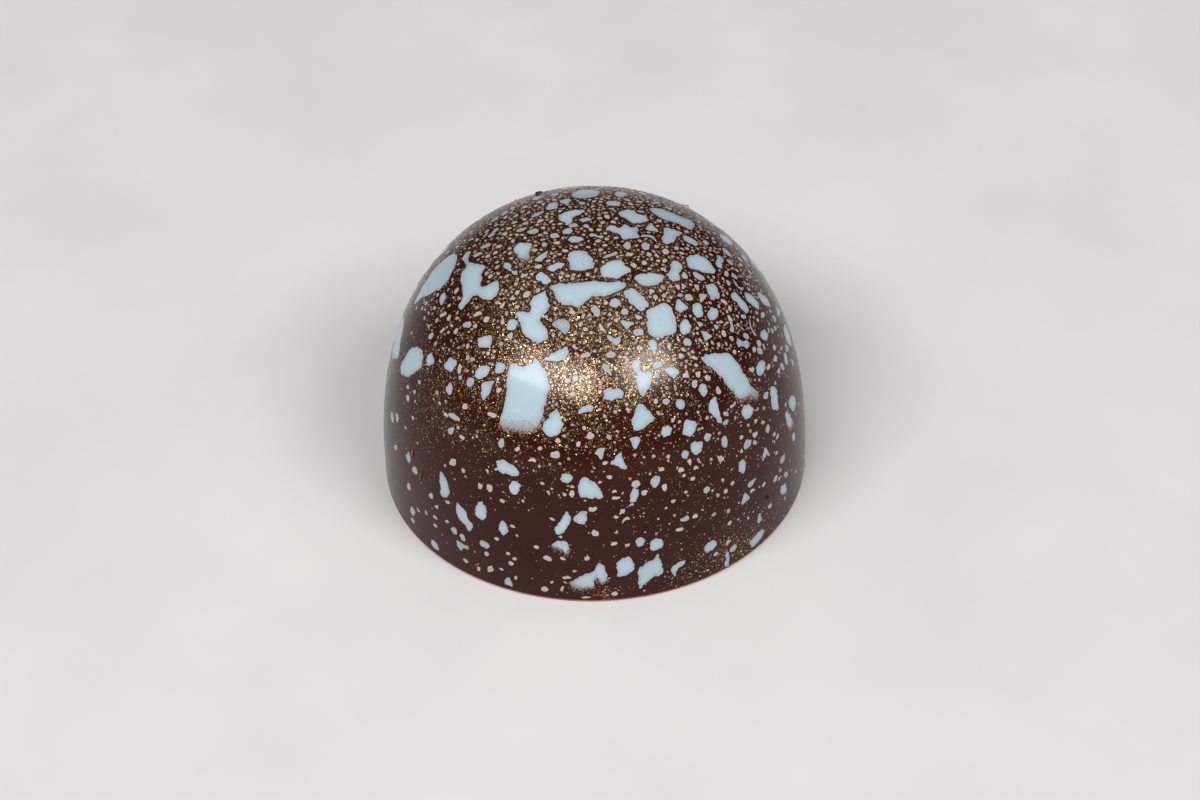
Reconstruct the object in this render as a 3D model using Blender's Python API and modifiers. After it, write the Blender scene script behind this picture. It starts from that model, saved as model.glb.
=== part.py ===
"""Chocolate praline: one solid moulded sweet, domed above and flat below.

The body is a turned form. Its outline is a superellipse, which stands upright at
the foot and curves in to a broad, gently rounded crown, the shape of the cup in a
praline mould. The foot turns under to the flat capping layer with a small radius.

Metres, +Z up. The origin is the centre of the flat base.
"""

import math

import bpy

PRALINE_NAME = "praline"
COLLECTION_NAME = "chocolate_praline"

BASE_RADIUS = 0.0145  # outer wall at the foot
HEIGHT = 0.0191  # flat base to crown
OUTLINE_POWER = 2.55  # 2 would be an ellipse, more is boxier
FOOT_RADIUS = 0.00025  # small round where the wall meets the base

WALL_POINTS = 25  # outline points from the crown to the foot
FOOT_POINTS = 3  # further points round the foot
TURN_STEPS = 96  # facets round the axis
AXIS_MERGE = 0.000001
QUARTER_TURN = math.radians(90.0)
FULL_TURN = math.radians(360.0)

DARK_CHOCOLATE = (0.042, 0.019, 0.016, 1.0)
CHOCOLATE_ROUGHNESS = 0.22


def clear_scene():
    """Remove every object, so that the model starts from nothing."""
    for item in list(bpy.data.objects):
        bpy.data.objects.remove(item, do_unlink=True)


def wall_outline():
    """Radius and height along the superellipse, from the crown down to the foot."""
    power = 2.0 / OUTLINE_POWER
    dome_height = HEIGHT - FOOT_RADIUS
    points = [(0.0, HEIGHT)]
    for index in range(1, WALL_POINTS):
        angle = QUARTER_TURN * (1.0 - index / WALL_POINTS)
        radius = BASE_RADIUS * math.cos(angle) ** power
        height = FOOT_RADIUS + dome_height * math.sin(angle) ** power
        points.append((radius, height))
    points.append((BASE_RADIUS, FOOT_RADIUS))
    return points


def foot_outline():
    """Quarter circle that turns the wall under, then the centre of the base."""
    points = []
    for index in range(1, FOOT_POINTS + 1):
        angle = QUARTER_TURN * index / FOOT_POINTS
        radius = BASE_RADIUS - FOOT_RADIUS * (1.0 - math.cos(angle))
        height = FOOT_RADIUS * (1.0 - math.sin(angle))
        points.append((radius, height))
    points.append((0.0, 0.0))
    return points


def make_material():
    """Dark glossy chocolate."""
    material = bpy.data.materials.new("dark_chocolate")
    material.use_nodes = True
    shader = material.node_tree.nodes["Principled BSDF"]
    shader.inputs["Base Color"].default_value = DARK_CHOCOLATE
    shader.inputs["Roughness"].default_value = CHOCOLATE_ROUGHNESS
    shader.inputs["Metallic"].default_value = 0.0
    return material


def make_praline(collection):
    """Turn the outline about +Z into the solid praline."""
    outline = wall_outline() + foot_outline()
    mesh = bpy.data.meshes.new(PRALINE_NAME)
    edges = [(index, index + 1) for index in range(len(outline) - 1)]
    mesh.from_pydata([(radius, 0.0, height) for radius, height in outline], edges, [])
    praline = bpy.data.objects.new(PRALINE_NAME, mesh)
    collection.objects.link(praline)
    praline.data.materials.append(make_material())

    turn = praline.modifiers.new("Turn", "SCREW")
    turn.axis = "Z"
    turn.angle = FULL_TURN
    turn.steps = TURN_STEPS
    turn.render_steps = TURN_STEPS
    turn.use_merge_vertices = True
    turn.merge_threshold = AXIS_MERGE
    turn.use_smooth_shade = True


def main():
    """Build the praline in a collection of its own."""
    clear_scene()
    collection = bpy.data.collections.new(COLLECTION_NAME)
    bpy.context.scene.collection.children.link(collection)
    make_praline(collection)


main()
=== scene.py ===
"""Chocolate praline: a glossy moulded dome with cocoa butter splashes and gold flakes.

The decoration is laid out on two flat charts of the dome, in millimetres and degrees.
The crown chart is centred on the crown: a point's distance from the centre is its
distance along the dome, with the front of the sweet towards -y. The wall chart gives
an azimuth in degrees, 0 at the front and growing to the right, and the distance from
the crown along the dome.
"""

import logging
import math
from dataclasses import dataclass, field
from enum import Enum

import bpy
import numpy as np
from mathutils import Matrix, Vector
from mathutils.geometry import delaunay_2d_cdt


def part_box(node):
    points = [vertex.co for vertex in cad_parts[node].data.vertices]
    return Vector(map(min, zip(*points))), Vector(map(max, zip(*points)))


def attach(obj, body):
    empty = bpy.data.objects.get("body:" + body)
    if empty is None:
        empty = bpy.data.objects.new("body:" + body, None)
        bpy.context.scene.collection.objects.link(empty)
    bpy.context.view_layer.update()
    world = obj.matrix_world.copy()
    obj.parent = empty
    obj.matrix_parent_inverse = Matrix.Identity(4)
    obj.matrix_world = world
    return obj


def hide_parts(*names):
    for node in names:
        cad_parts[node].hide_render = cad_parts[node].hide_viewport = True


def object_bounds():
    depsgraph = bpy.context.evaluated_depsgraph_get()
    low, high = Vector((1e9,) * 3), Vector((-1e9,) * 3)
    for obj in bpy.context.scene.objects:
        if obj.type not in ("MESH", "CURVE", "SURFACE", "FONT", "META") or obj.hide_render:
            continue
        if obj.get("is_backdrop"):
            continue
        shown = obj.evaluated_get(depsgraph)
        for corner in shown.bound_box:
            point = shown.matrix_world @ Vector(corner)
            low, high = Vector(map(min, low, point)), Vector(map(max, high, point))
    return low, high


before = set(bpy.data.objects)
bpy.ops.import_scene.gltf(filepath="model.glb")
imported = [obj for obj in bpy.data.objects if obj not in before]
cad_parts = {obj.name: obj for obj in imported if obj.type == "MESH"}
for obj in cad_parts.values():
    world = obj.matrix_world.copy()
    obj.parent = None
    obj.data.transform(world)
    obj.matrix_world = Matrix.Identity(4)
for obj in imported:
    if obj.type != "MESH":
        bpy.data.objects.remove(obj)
CAD_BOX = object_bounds()

LOG = logging.getLogger("chocolate_praline")

MM = 0.001  # design values are in millimetres, meshes in metres
PRALINE_NODE = "praline"
BODY = "root"
UV_NAME = "OFBake"  # the map that the export bakes into

Points = np.ndarray
Outline = tuple[tuple[float, float], ...]
Row = tuple[float, ...]
Numbers = tuple[float, ...]
Colour = tuple[float, float, float]
Stops = tuple[tuple[float, Colour], ...]


# --------------------------------------------------------------------------- dome


@dataclass
class DomeForm:
    """The turned dome that every piece of decoration lies on.

    Its outline is a superellipse that stands on a small rounded foot.
    """

    radius: float
    height: float
    foot: float = 0.25 * MM
    power: float = 2.55
    steps: int = 4000
    arcs: Points = field(init=False)
    radii: Points = field(init=False)
    heights: Points = field(init=False)

    def __post_init__(self) -> None:
        """Tabulate the outline against the distance from the crown."""
        turn = np.linspace(math.pi / 2, 0.0, self.steps)
        radii = self.radius * np.cos(turn) ** (2 / self.power)
        radii[0] = 0.0
        heights = self.foot + self.rise * np.sin(turn) ** (2 / self.power)
        bend = np.linspace(0.0, math.pi / 2, 40)[1:]
        self.radii = np.concatenate([radii, self.radius - self.foot * (1 - np.cos(bend))])
        self.heights = np.concatenate([heights, self.foot * (1 - np.sin(bend))])
        lengths = np.hypot(np.diff(self.radii), np.diff(self.heights))
        self.arcs = np.concatenate([[0.0], np.cumsum(lengths)])

    @property
    def rise(self) -> float:
        """Height of the crown above the foot."""
        return self.height - self.foot

    @property
    def middle(self) -> Vector:
        """Place that the lights and the camera look at."""
        return Vector((0.0, 0.0, 0.4 * self.height))

    @property
    def wall_length(self) -> float:
        """Distance from the crown down to the foot, along the wall."""
        return float(self.arcs[-1])

    def radius_at(self, arc: Points) -> Points:
        """Distance from the axis, for distances from the crown along the wall."""
        return np.interp(arc, self.arcs, self.radii)

    def normals(self, points: Points) -> Points:
        """Outward directions at points on the dome.

        Args:
            points: Rows of x, y, z in metres.

        Returns:
            Rows of unit vectors.
        """
        reach = np.hypot(points[:, 0], points[:, 1])
        lift = np.maximum(points[:, 2] - self.foot, 0.0)
        side = reach ** (self.power - 1) / self.radius**self.power
        top = lift ** (self.power - 1) / self.rise**self.power
        scale = side / np.maximum(reach, 1e-9)
        fall = np.clip(1.0 - points[:, 2] / self.foot, 0.0, 1.0)
        top = np.where(fall > 0.0, -np.tan(0.5 * math.pi * np.minimum(fall, 0.95)) * side, top)
        return unit(np.stack([points[:, 0] * scale, points[:, 1] * scale, top], axis=1))

    def on_dome(self, chart: Points, lift: Points | float = 0.0) -> tuple[Points, Points]:
        """Carry crown chart points onto the dome.

        Args:
            chart: Rows of x, y in metres on the crown chart.
            lift: How far the points stand off the dome, in metres.

        Returns:
            The points, and the outward directions there.
        """
        arc = np.hypot(chart[:, 0], chart[:, 1])
        reach = self.radius_at(arc) / np.maximum(arc, 1e-9)
        level = np.interp(arc, self.arcs, self.heights)
        points = np.stack([chart[:, 0] * reach, chart[:, 1] * reach, level], axis=1)
        outward = self.normals(points)
        return points + outward * np.reshape(lift, (-1, 1)), outward

    def wall_to_crown(self, azimuth: Points, arc: Points) -> Points:
        """Crown chart points for azimuths in degrees and distances in metres."""
        turn = np.radians(azimuth)
        return np.stack([arc * np.sin(turn), -arc * np.cos(turn)], axis=-1)

    def azimuth_arc(self, chart: Points) -> tuple[Points, Points]:
        """Azimuths in degrees and distances from the crown of crown chart points."""
        azimuth = np.degrees(np.arctan2(chart[:, 0], -chart[:, 1]))
        return azimuth, np.hypot(chart[:, 0], chart[:, 1])

    def chart_area(self, chart: Points) -> Points:
        """How much dome area one unit of crown chart area stands for."""
        arc = np.maximum(np.hypot(chart[:, 0], chart[:, 1]), 1e-6)
        return self.radius_at(arc) / arc


# ------------------------------------------------------------------ mesh building


@dataclass
class MeshStock:
    """Triangles and point values gathered for one piece."""

    points: list[Points] = field(default_factory=list)
    faces: list[Points] = field(default_factory=list)
    normals: list[Points] = field(default_factory=list)
    charts: list[Points] = field(default_factory=list)
    buried: list[Points] = field(default_factory=list)
    values: dict[str, list[Points]] = field(default_factory=dict)
    count: int = 0

    def add(
        self,
        points: Points,
        faces: Points,
        normals: Points,
        chart: Points,
        under: Points | bool = False,
        **values: Points | float,
    ) -> None:
        """Add one closed form.

        Args:
            points: Rows of x, y, z in metres.
            faces: Rows of three point numbers.
            normals: Shading direction of each point.
            chart: Crown chart place of each point.
            under: Which faces are sunk in the chocolate.
            values: Named numbers, one for each point or one for all.
        """
        size = len(points)
        self.buried.append(np.broadcast_to(under, (len(faces),)))
        self.points.append(points)
        self.faces.append(np.asarray(faces, int) + self.count)
        self.normals.append(normals)
        self.charts.append(chart)
        for name, value in values.items():
            spread = np.broadcast_to(np.asarray(value, float), (size,))
            self.values.setdefault(name, []).append(spread)
        self.count += size

    def build(self, name: str, dome: DomeForm, shaded: bool = True) -> bpy.types.Object:
        """Make the mesh object.

        Args:
            name: Name of the piece.
            dome: Dome that sets the scale of the UV map.
            shaded: True to shade smoothly with the stored directions.

        Returns:
            The new object, linked to the scene.
        """
        mesh = bpy.data.meshes.new(name)
        points = np.concatenate(self.points)
        faces = np.concatenate(self.faces)
        mesh.from_pydata(points.tolist(), [], faces.tolist())
        mesh.update()
        for label, parts in self.values.items():
            layer = mesh.attributes.new(label, "FLOAT", "POINT")
            layer.data.foreach_set("value", np.concatenate(parts).astype(np.float32))
        chart = np.concatenate(self.charts)[faces.ravel()] / dome.wall_length
        buried = np.repeat(np.concatenate(self.buried), 3)[:, None]
        corner = UvLayout.BASE_CENTRE + UvLayout.BASE_SPAN * chart
        place = np.where(buried, corner, 0.5 + UvLayout.DOME_SPAN * chart)
        layer = mesh.uv_layers.new(name=UV_NAME)
        layer.data.foreach_set("uv", place.astype(np.float32).ravel())
        if shaded:
            mesh.shade_smooth()
            mesh.normals_split_custom_set_from_vertices(np.concatenate(self.normals).tolist())
        return link(name, mesh)


class UvLayout:
    """Where the dome and the base lie on the baked map, in shares of its width."""

    DOME_SPAN = 0.455
    BASE_SPAN = 0.1
    BASE_CENTRE = 0.105


def link(name: str, data: bpy.types.ID) -> bpy.types.Object:
    """Make an object for the data and link it to the scene."""
    made = bpy.data.objects.new(name, data)
    bpy.context.scene.collection.objects.link(made)
    return made


def settle(piece: bpy.types.Object, material: bpy.types.Material, slot: str) -> None:
    """Dress a piece, fix it to the sweet and log the name of its finish.

    Args:
        piece: The piece.
        material: Its material.
        slot: Name of its finish, which is only logged.
    """
    piece.data.materials.clear()
    piece.data.materials.append(material)
    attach(piece, BODY)
    LOG.info("%s: %d faces, %s", piece.name, len(piece.data.polygons), slot)


def unit(vectors: Points) -> Points:
    """The vectors, brought to length 1."""
    length = np.linalg.norm(vectors, axis=-1, keepdims=True)
    return vectors / np.maximum(length, 1e-12)


def circle(count: int) -> Points:
    """Evenly spaced angles round a circle, in radians."""
    return np.arange(count) * 2 * math.pi / count


def turned(right: Points, up: Points, angle: Points) -> tuple[Points, Points]:
    """Turn places anticlockwise by angles in radians."""
    return right * np.cos(angle) - up * np.sin(angle), right * np.sin(angle) + up * np.cos(angle)


def capped_rings(rings: int, sides: int) -> Points:
    """Triangles of a stack of rings that one more point closes at each end.

    Args:
        rings: Number of rings.
        sides: Points in each ring; the two end points come after all rings.

    Returns:
        Rows of three point numbers.
    """
    faces = []
    first, end = rings * sides, (rings - 1) * sides
    for side in range(sides):
        after = (side + 1) % sides
        faces.append((first, side, after))
        for low in range(0, end, sides):
            high = low + sides
            faces.append((low + side, high + side, high + after))
            faces.append((low + side, high + after, low + after))
        faces.append((end + after, end + side, first + 1))
    return np.array(faces)


class Seed(Enum):
    """Starts of the random numbers, one for each maker."""

    CUTTER = 5
    FILM = 7
    SCATTER = 11
    SPRAY = 13
    FLAKES = 17
    FIBRES = 19
    CLUMPS = 23
    CRUMBS = 29
    BLOTS = 31
    GRAINS = 37
    SPECKS = 41

    def chance(self) -> np.random.Generator:
        """Source of chance for the maker."""
        return np.random.default_rng(self.value)


def smooth_step(value: Points, low: float, high: float) -> Points:
    """0 below low, 1 above high, and a smooth rise between them."""
    share = np.clip((value - low) / (high - low), 0.0, 1.0)
    return share * share * (3.0 - 2.0 * share)


def bell(value: Points, centre: float, width: float) -> Points:
    """A bell curve of height 1."""
    return np.exp(-(((value - centre) / width) ** 2))


def turn_bell(azimuth: Points, centre: float, width: float) -> Points:
    """A bell curve of height 1 over the azimuth, in degrees."""
    return bell((azimuth - centre + 180.0) % 360.0 - 180.0, 0.0, width)


# ----------------------------------------------------------------- shader drawing


class NodeSheet:
    """A node tree while it is being drawn."""

    def __init__(self, tree: bpy.types.NodeTree) -> None:
        """Start on an emptied tree."""
        self.tree = tree
        tree.nodes.clear()

    def node(self, kind: str, **settings: object) -> bpy.types.Node:
        """Add a node and set its properties.

        Args:
            kind: Blender's name of the node type.
            settings: Properties of the node.

        Returns:
            The node.
        """
        made = self.tree.nodes.new(kind)
        for name, value in settings.items():
            setattr(made, name, value)
        return made

    def feed(self, socket: bpy.types.NodeSocket, value: object) -> None:
        """Link a socket to the value, or set the value on it."""
        if isinstance(value, bpy.types.NodeSocket):
            self.tree.links.new(value, socket)
        elif value is not None:
            socket.default_value = value

    def math(self, operation: str, *values: object, clamp: bool = False) -> bpy.types.NodeSocket:
        """Add a Math node and return its result."""
        made = self.node("ShaderNodeMath", operation=operation, use_clamp=clamp)
        for socket, value in zip(made.inputs, values):
            self.feed(socket, value)
        return made.outputs[0]

    def span(
        self, value: object, low: object, high: object, start: object, end: object
    ) -> bpy.types.NodeSocket:
        """Map low..high of a value to start..end, clamped."""
        made = self.node("ShaderNodeMapRange", clamp=True)
        for socket, given in zip(made.inputs, (value, low, high, start, end)):
            self.feed(socket, given)
        return made.outputs[0]

    def blend(self, share: object, first: object, second: object) -> bpy.types.NodeSocket:
        """Mix two colours and return the result."""
        made = self.node("ShaderNodeMix", data_type="RGBA")
        self.feed(made.inputs[0], share)
        sockets = [socket for socket in made.inputs if socket.type == "RGBA"]
        for socket, colour in zip(sockets, (first, second)):
            self.feed(socket, (*colour, 1.0) if isinstance(colour, tuple) else colour)
        return next(socket for socket in made.outputs if socket.type == "RGBA")

    def ramp(self, value: object, stops: Stops) -> bpy.types.NodeSocket:
        """Add a colour ramp and return its colour.

        Args:
            value: What picks the colour.
            stops: Positions and colours, in order.

        Returns:
            The colour socket.
        """
        made = self.node("ShaderNodeValToRGB")
        steps = made.color_ramp.elements
        while len(steps) < len(stops):
            steps.new(1.0)
        for step, (position, colour) in zip(steps, stops):
            step.position = position
            step.color = (*colour, 1.0)
        self.feed(made.inputs[0], value)
        return made.outputs["Color"]

    def attribute(self, name: str) -> bpy.types.NodeSocket:
        """Value that the mesh carries at each point."""
        return self.node("ShaderNodeAttribute", attribute_name=name).outputs["Fac"]

    def times(self, first: object, second: object) -> bpy.types.NodeSocket:
        """Product of two values."""
        return self.math("MULTIPLY", first, second)

    def group(self, tree: bpy.types.NodeTree, **values: object) -> bpy.types.Node:
        """Place a shared effect with its own values."""
        made = self.node("ShaderNodeGroup", node_tree=tree)
        for name, value in values.items():
            self.feed(made.inputs[name], value)
        return made


def start_group(name: str, inputs: dict[str, str], outputs: dict[str, str]) -> NodeSheet:
    """Start a node group with named sockets.

    Args:
        name: Name of the group.
        inputs: Socket names and types.
        outputs: Socket names and types.

    Returns:
        A sheet to draw the group on.
    """
    tree = bpy.data.node_groups.new(name, "ShaderNodeTree")
    for label, kind in inputs.items():
        tree.interface.new_socket(label, in_out="INPUT", socket_type=kind)
    for label, kind in outputs.items():
        tree.interface.new_socket(label, in_out="OUTPUT", socket_type=kind)
    return NodeSheet(tree)


FLOAT = "NodeSocketFloat"
VECTOR = "NodeSocketVector"


class EffectLibrary:
    """Effects that more than one finish uses, built once."""

    def __init__(self) -> None:
        """Build the groups."""
        self.specks = self.build_specks()
        self.mottle = self.build_mottle()
        self.relief = self.build_relief()

    @staticmethod
    def build_specks() -> bpy.types.NodeTree:
        """Round specks scattered at random, with a random shade for each."""
        sheet = start_group(
            "scattered_specks",
            {"Place": VECTOR, "Scale": FLOAT, "Share": FLOAT, "Size": FLOAT},
            {"Mask": FLOAT, "Shade": FLOAT},
        )
        start = sheet.node("NodeGroupInput").outputs
        cells = sheet.node("ShaderNodeTexVoronoi")
        sheet.feed(cells.inputs["Vector"], start["Place"])
        sheet.feed(cells.inputs["Scale"], start["Scale"])
        shades = sheet.node("ShaderNodeSeparateColor")
        sheet.feed(shades.inputs[0], cells.outputs["Color"])
        core = sheet.times(start["Size"], 0.7)
        disc = sheet.span(cells.outputs["Distance"], core, start["Size"], 1.0, 0.0)
        chosen = sheet.math("LESS_THAN", shades.outputs[0], start["Share"])
        end = sheet.node("NodeGroupOutput").inputs
        sheet.feed(end["Mask"], sheet.times(disc, chosen))
        sheet.feed(end["Shade"], shades.outputs[1])
        return sheet.tree

    @staticmethod
    def build_mottle() -> bpy.types.NodeTree:
        """A cloudy value between two limits."""
        sheet = start_group(
            "cloudy_mottle",
            {"Place": VECTOR, "Scale": FLOAT, "Low": FLOAT, "High": FLOAT},
            {"Value": FLOAT},
        )
        start = sheet.node("NodeGroupInput").outputs
        cloud = sheet.node("ShaderNodeTexNoise")
        sheet.feed(cloud.inputs["Vector"], start["Place"])
        sheet.feed(cloud.inputs["Scale"], start["Scale"])
        sheet.feed(cloud.inputs["Detail"], 4.0)
        value = sheet.span(cloud.outputs[0], 0.3, 0.7, start["Low"], start["High"])
        sheet.feed(sheet.node("NodeGroupOutput").inputs["Value"], value)
        return sheet.tree

    @staticmethod
    def build_relief() -> bpy.types.NodeTree:
        """Height of a surface with soft waves and a fine grain."""
        sheet = start_group(
            "set_fat_relief",
            {"Place": VECTOR, "Waves": FLOAT, "Grain": FLOAT, "Grain Share": FLOAT},
            {"Height": FLOAT},
        )
        start = sheet.node("NodeGroupInput").outputs
        heights = []
        for label in ("Waves", "Grain"):
            cloud = sheet.node("ShaderNodeTexNoise")
            sheet.feed(cloud.inputs["Vector"], start["Place"])
            sheet.feed(cloud.inputs["Scale"], start[label])
            sheet.feed(cloud.inputs["Detail"], 2.0)
            heights.append(cloud.outputs[0])
        grain = sheet.times(heights[1], start["Grain Share"])
        height = sheet.math("ADD", heights[0], grain)
        sheet.feed(sheet.node("NodeGroupOutput").inputs["Height"], height)
        return sheet.tree


class FinishSheet(NodeSheet):
    """The node tree of one material, with its shader."""

    def __init__(self, name: str, effects: EffectLibrary) -> None:
        """Start a material.

        Args:
            name: Name of the material.
            effects: Shared node groups.
        """
        self.material = bpy.data.materials.new(name)
        self.material.use_nodes = True
        super().__init__(self.material.node_tree)
        self.effects = effects
        self.shader = self.node("ShaderNodeBsdfPrincipled")
        output = self.node("ShaderNodeOutputMaterial")
        self.feed(output.inputs["Surface"], self.shader.outputs[0])
        self.place = self.node("ShaderNodeTexCoord").outputs["Object"]

    def give(self, label: str, value: object) -> None:
        """Link or set one of the shader's own sockets."""
        self.feed(self.shader.inputs[label], value)

    def mottle(self, scale: float, low: float = 0.0, high: float = 1.0) -> bpy.types.NodeSocket:
        """A cloudy value between two limits."""
        values = {"Place": self.place, "Scale": scale, "Low": low, "High": high}
        return self.group(self.effects.mottle, **values).outputs[0]

    def specks(self, scale: float, share: object, size: float) -> bpy.types.Node:
        """Scattered specks: a node that puts out their mask and shade."""
        values = {"Place": self.place, "Scale": scale, "Share": share, "Size": size}
        return self.group(self.effects.specks, **values)

    def relief(self, waves: float, grain: float, share: float, strength: float, depth: float) -> None:
        """Raise soft waves and a fine grain on the surface.

        Args:
            waves: Scale of the waves.
            grain: Scale of the grain.
            share: Height of the grain against the waves.
            strength: Strength of the bump.
            depth: Depth of the bump in metres.
        """
        values = {"Place": self.place, "Waves": waves, "Grain": grain, "Grain Share": share}
        bump = self.node("ShaderNodeBump")
        self.feed(bump.inputs["Height"], self.group(self.effects.relief, **values).outputs[0])
        self.feed(bump.inputs["Strength"], strength)
        self.feed(bump.inputs["Distance"], depth)
        self.give("Normal", bump.outputs[0])


@dataclass(frozen=True)
class Finish:
    """A finish that makes its own material."""

    name: str

    def build(self, effects: EffectLibrary) -> bpy.types.Material:
        """Make the material.

        Args:
            effects: Shared node groups.

        Returns:
            The material.
        """
        sheet = FinishSheet(self.name, effects)
        self.paint(sheet)
        return sheet.material

    def paint(self, sheet: FinishSheet) -> None:
        """Draw the finish on its sheet."""
        raise NotImplementedError


@dataclass(frozen=True)
class ChocolateFinish(Finish):
    """Glossy dark chocolate with a mist of gold dust where it was brushed."""

    name: str = "dark_chocolate"
    body: Colour = (0.036, 0.0066, 0.0034)
    shade: Colour = (0.027, 0.005, 0.0026)
    # painted side light: a lighter, warmer chocolate that stands in for light falling on the side walls
    painted_side_light: Colour = (0.04, 0.008, 0.0048)
    # painted glow: a bright warm line along the foot that stands in for light showing at the edge
    painted_foot_glow: Colour = (0.75, 0.2, 0.07)
    roughness: tuple[float, float] = (0.13, 0.21)
    polished_roughness: float = 0.2
    ior: float = 1.26
    dusted: bool = True
    dust_share: float = 0.42
    dust_metal: float = 0.4
    dust_roughness: float = 0.2
    dust_grains: tuple[tuple[float, float], ...] = ((9500.0, 0.42), (16000.0, 0.5))
    dust_tones: Stops = (
        (0.0, (0.04, 0.012, 0.005)),
        (0.5, (0.11, 0.05, 0.02)),
        (0.82, (0.36, 0.22, 0.09)),
        (1.0, (0.75, 0.54, 0.28)),
    )

    def paint(self, sheet: FinishSheet) -> None:
        """Draw the chocolate with its painted side light, its painted glow along the foot and its gold dust.

        Args:
            sheet: Sheet of the material.
        """
        colour = sheet.blend(sheet.mottle(260.0), self.shade, self.body)
        # painted light: the side walls are painted lighter and warmer in place of light falling on them
        colour = sheet.blend(sheet.attribute("painted_side_light"), colour, self.painted_side_light)
        # painted light: a bright warm line along the foot in place of light at the edge
        colour = sheet.blend(sheet.attribute("painted_foot_glow"), colour, self.painted_foot_glow)
        rough = sheet.mottle(420.0, *self.roughness)
        if self.dusted:
            colour, rough = self.dust(sheet, colour, rough)
        sheet.give("Base Color", colour)
        sheet.give("Roughness", rough)
        sheet.give("IOR", self.ior)
        sheet.give("Coat Weight", sheet.attribute("polish"))
        sheet.give("Coat Roughness", self.polished_roughness)
        sheet.relief(waves=240.0, grain=3200.0, share=0.12, strength=0.25, depth=0.03 * MM)

    def dust(
        self, sheet: FinishSheet, colour: bpy.types.NodeSocket, rough: bpy.types.NodeSocket
    ) -> tuple[bpy.types.NodeSocket, bpy.types.NodeSocket]:
        """Add fine gold dust, as dense as the mesh says.

        Args:
            sheet: Sheet of the material.
            colour: Colour of the bare chocolate.
            rough: Roughness of the bare chocolate.

        Returns:
            The dusted colour and roughness.
        """
        share = sheet.times(sheet.attribute("dust"), self.dust_share)
        masks = []
        for scale, size in self.dust_grains:
            specks = sheet.specks(scale, share, size)
            shade = sheet.ramp(specks.outputs["Shade"], self.dust_tones)
            masks.append(specks.outputs["Mask"])
            colour = sheet.blend(masks[-1], colour, shade)
        covered = sheet.math("MAXIMUM", *masks)
        sheet.give("Metallic", sheet.times(covered, self.dust_metal))
        return colour, sheet.math("ADD", rough, sheet.times(covered, self.dust_roughness))


@dataclass(frozen=True)
class CocoaButterFinish(Finish):
    """Pale blue coloured cocoa butter, thin and warm in the smallest drops."""

    pinholes: float = 0.0
    roughness: tuple[float, float] = (0.13, 0.2)
    specular: float = 0.38
    cloud: Colour = (0.45, 0.56, 0.59)
    tint: Colour = (0.4, 0.42, 0.48)
    pinhole: Colour = (0.055, 0.03, 0.022)
    veil: Colour = (0.16, 0.12, 0.1)
    worn: Colour = (0.24, 0.2, 0.19)
    rim: Colour = (0.2, 0.14, 0.11)
    tones: Stops = (
        (0.0, (0.4, 0.28, 0.222)),
        (0.38, (0.485, 0.385, 0.34)),
        (0.6, (0.305, 0.32, 0.35)),
        (0.8, (0.345, 0.41, 0.46)),
        (1.0, (0.39, 0.51, 0.585)),
    )

    def paint(self, sheet: FinishSheet) -> None:
        """Draw the coloured fat, thinner and darker towards its edges.

        Args:
            sheet: Sheet of the material.
        """
        tone, thin = sheet.attribute("tone"), sheet.attribute("thin")
        colour = sheet.ramp(tone, self.tones)
        colour = sheet.blend(sheet.times(sheet.mottle(520.0, high=0.3), tone), colour, self.cloud)
        tint = sheet.times(sheet.math("MAXIMUM", sheet.attribute("tint"), 0.0), tone)
        colour = sheet.blend(sheet.times(tint, 0.3), colour, self.tint)
        if self.pinholes > 0:
            holes = sheet.specks(scale=4200.0, share=self.pinholes, size=0.11).outputs["Mask"]
            colour = sheet.blend(sheet.times(holes, 0.8), colour, self.pinhole)
        powder = sheet.specks(scale=21000.0, share=thin, size=0.8).outputs["Mask"]
        veil = sheet.times(powder, 0.6)
        colour = sheet.blend(veil, colour, self.veil)
        colour = sheet.blend(sheet.times(sheet.times(thin, thin), 0.6), colour, self.worn)
        colour = sheet.blend(sheet.times(sheet.attribute("edge"), 0.75), colour, self.rim)
        gloss = sheet.mottle(700.0, *self.roughness)
        sheet.give("Base Color", colour)
        sheet.give("Roughness", sheet.math("ADD", gloss, sheet.times(veil, 0.25)))
        sheet.give("Specular IOR Level", self.specular)
        sheet.relief(waves=600.0, grain=5200.0, share=0.2, strength=0.3, depth=0.02 * MM)


@dataclass(frozen=True)
class GoldFlakeFinish(Finish):
    """Fine metallic flakes from copper brown to pale gold."""

    name: str = "gold_flake"
    metallic: float = 0.78
    varnish: float = 0.6
    varnish_roughness: float = 0.12
    varnish_ior: float = 1.5
    worn: Colour = (0.2, 0.095, 0.035)
    tones: Stops = (
        (0.0, (0.03, 0.009, 0.004)),
        (0.35, (0.15, 0.06, 0.02)),
        (0.6, (0.44, 0.265, 0.095)),
        (0.8, (0.88, 0.65, 0.31)),
        (1.0, (1.0, 0.88, 0.6)),
    )

    def paint(self, sheet: FinishSheet) -> None:
        """Draw the metal under a thin clear varnish.

        Args:
            sheet: Sheet of the material.
        """
        colour = sheet.ramp(sheet.attribute("glint"), self.tones)
        colour = sheet.blend(sheet.mottle(6000.0, high=0.3), colour, self.worn)
        sheet.give("Base Color", colour)
        sheet.give("Roughness", sheet.mottle(9000.0, 0.16, 0.3))
        sheet.give("Metallic", self.metallic)
        sheet.give("Coat Weight", self.varnish)
        sheet.give("Coat Roughness", self.varnish_roughness)
        sheet.give("Coat IOR", self.varnish_ior)


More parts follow.
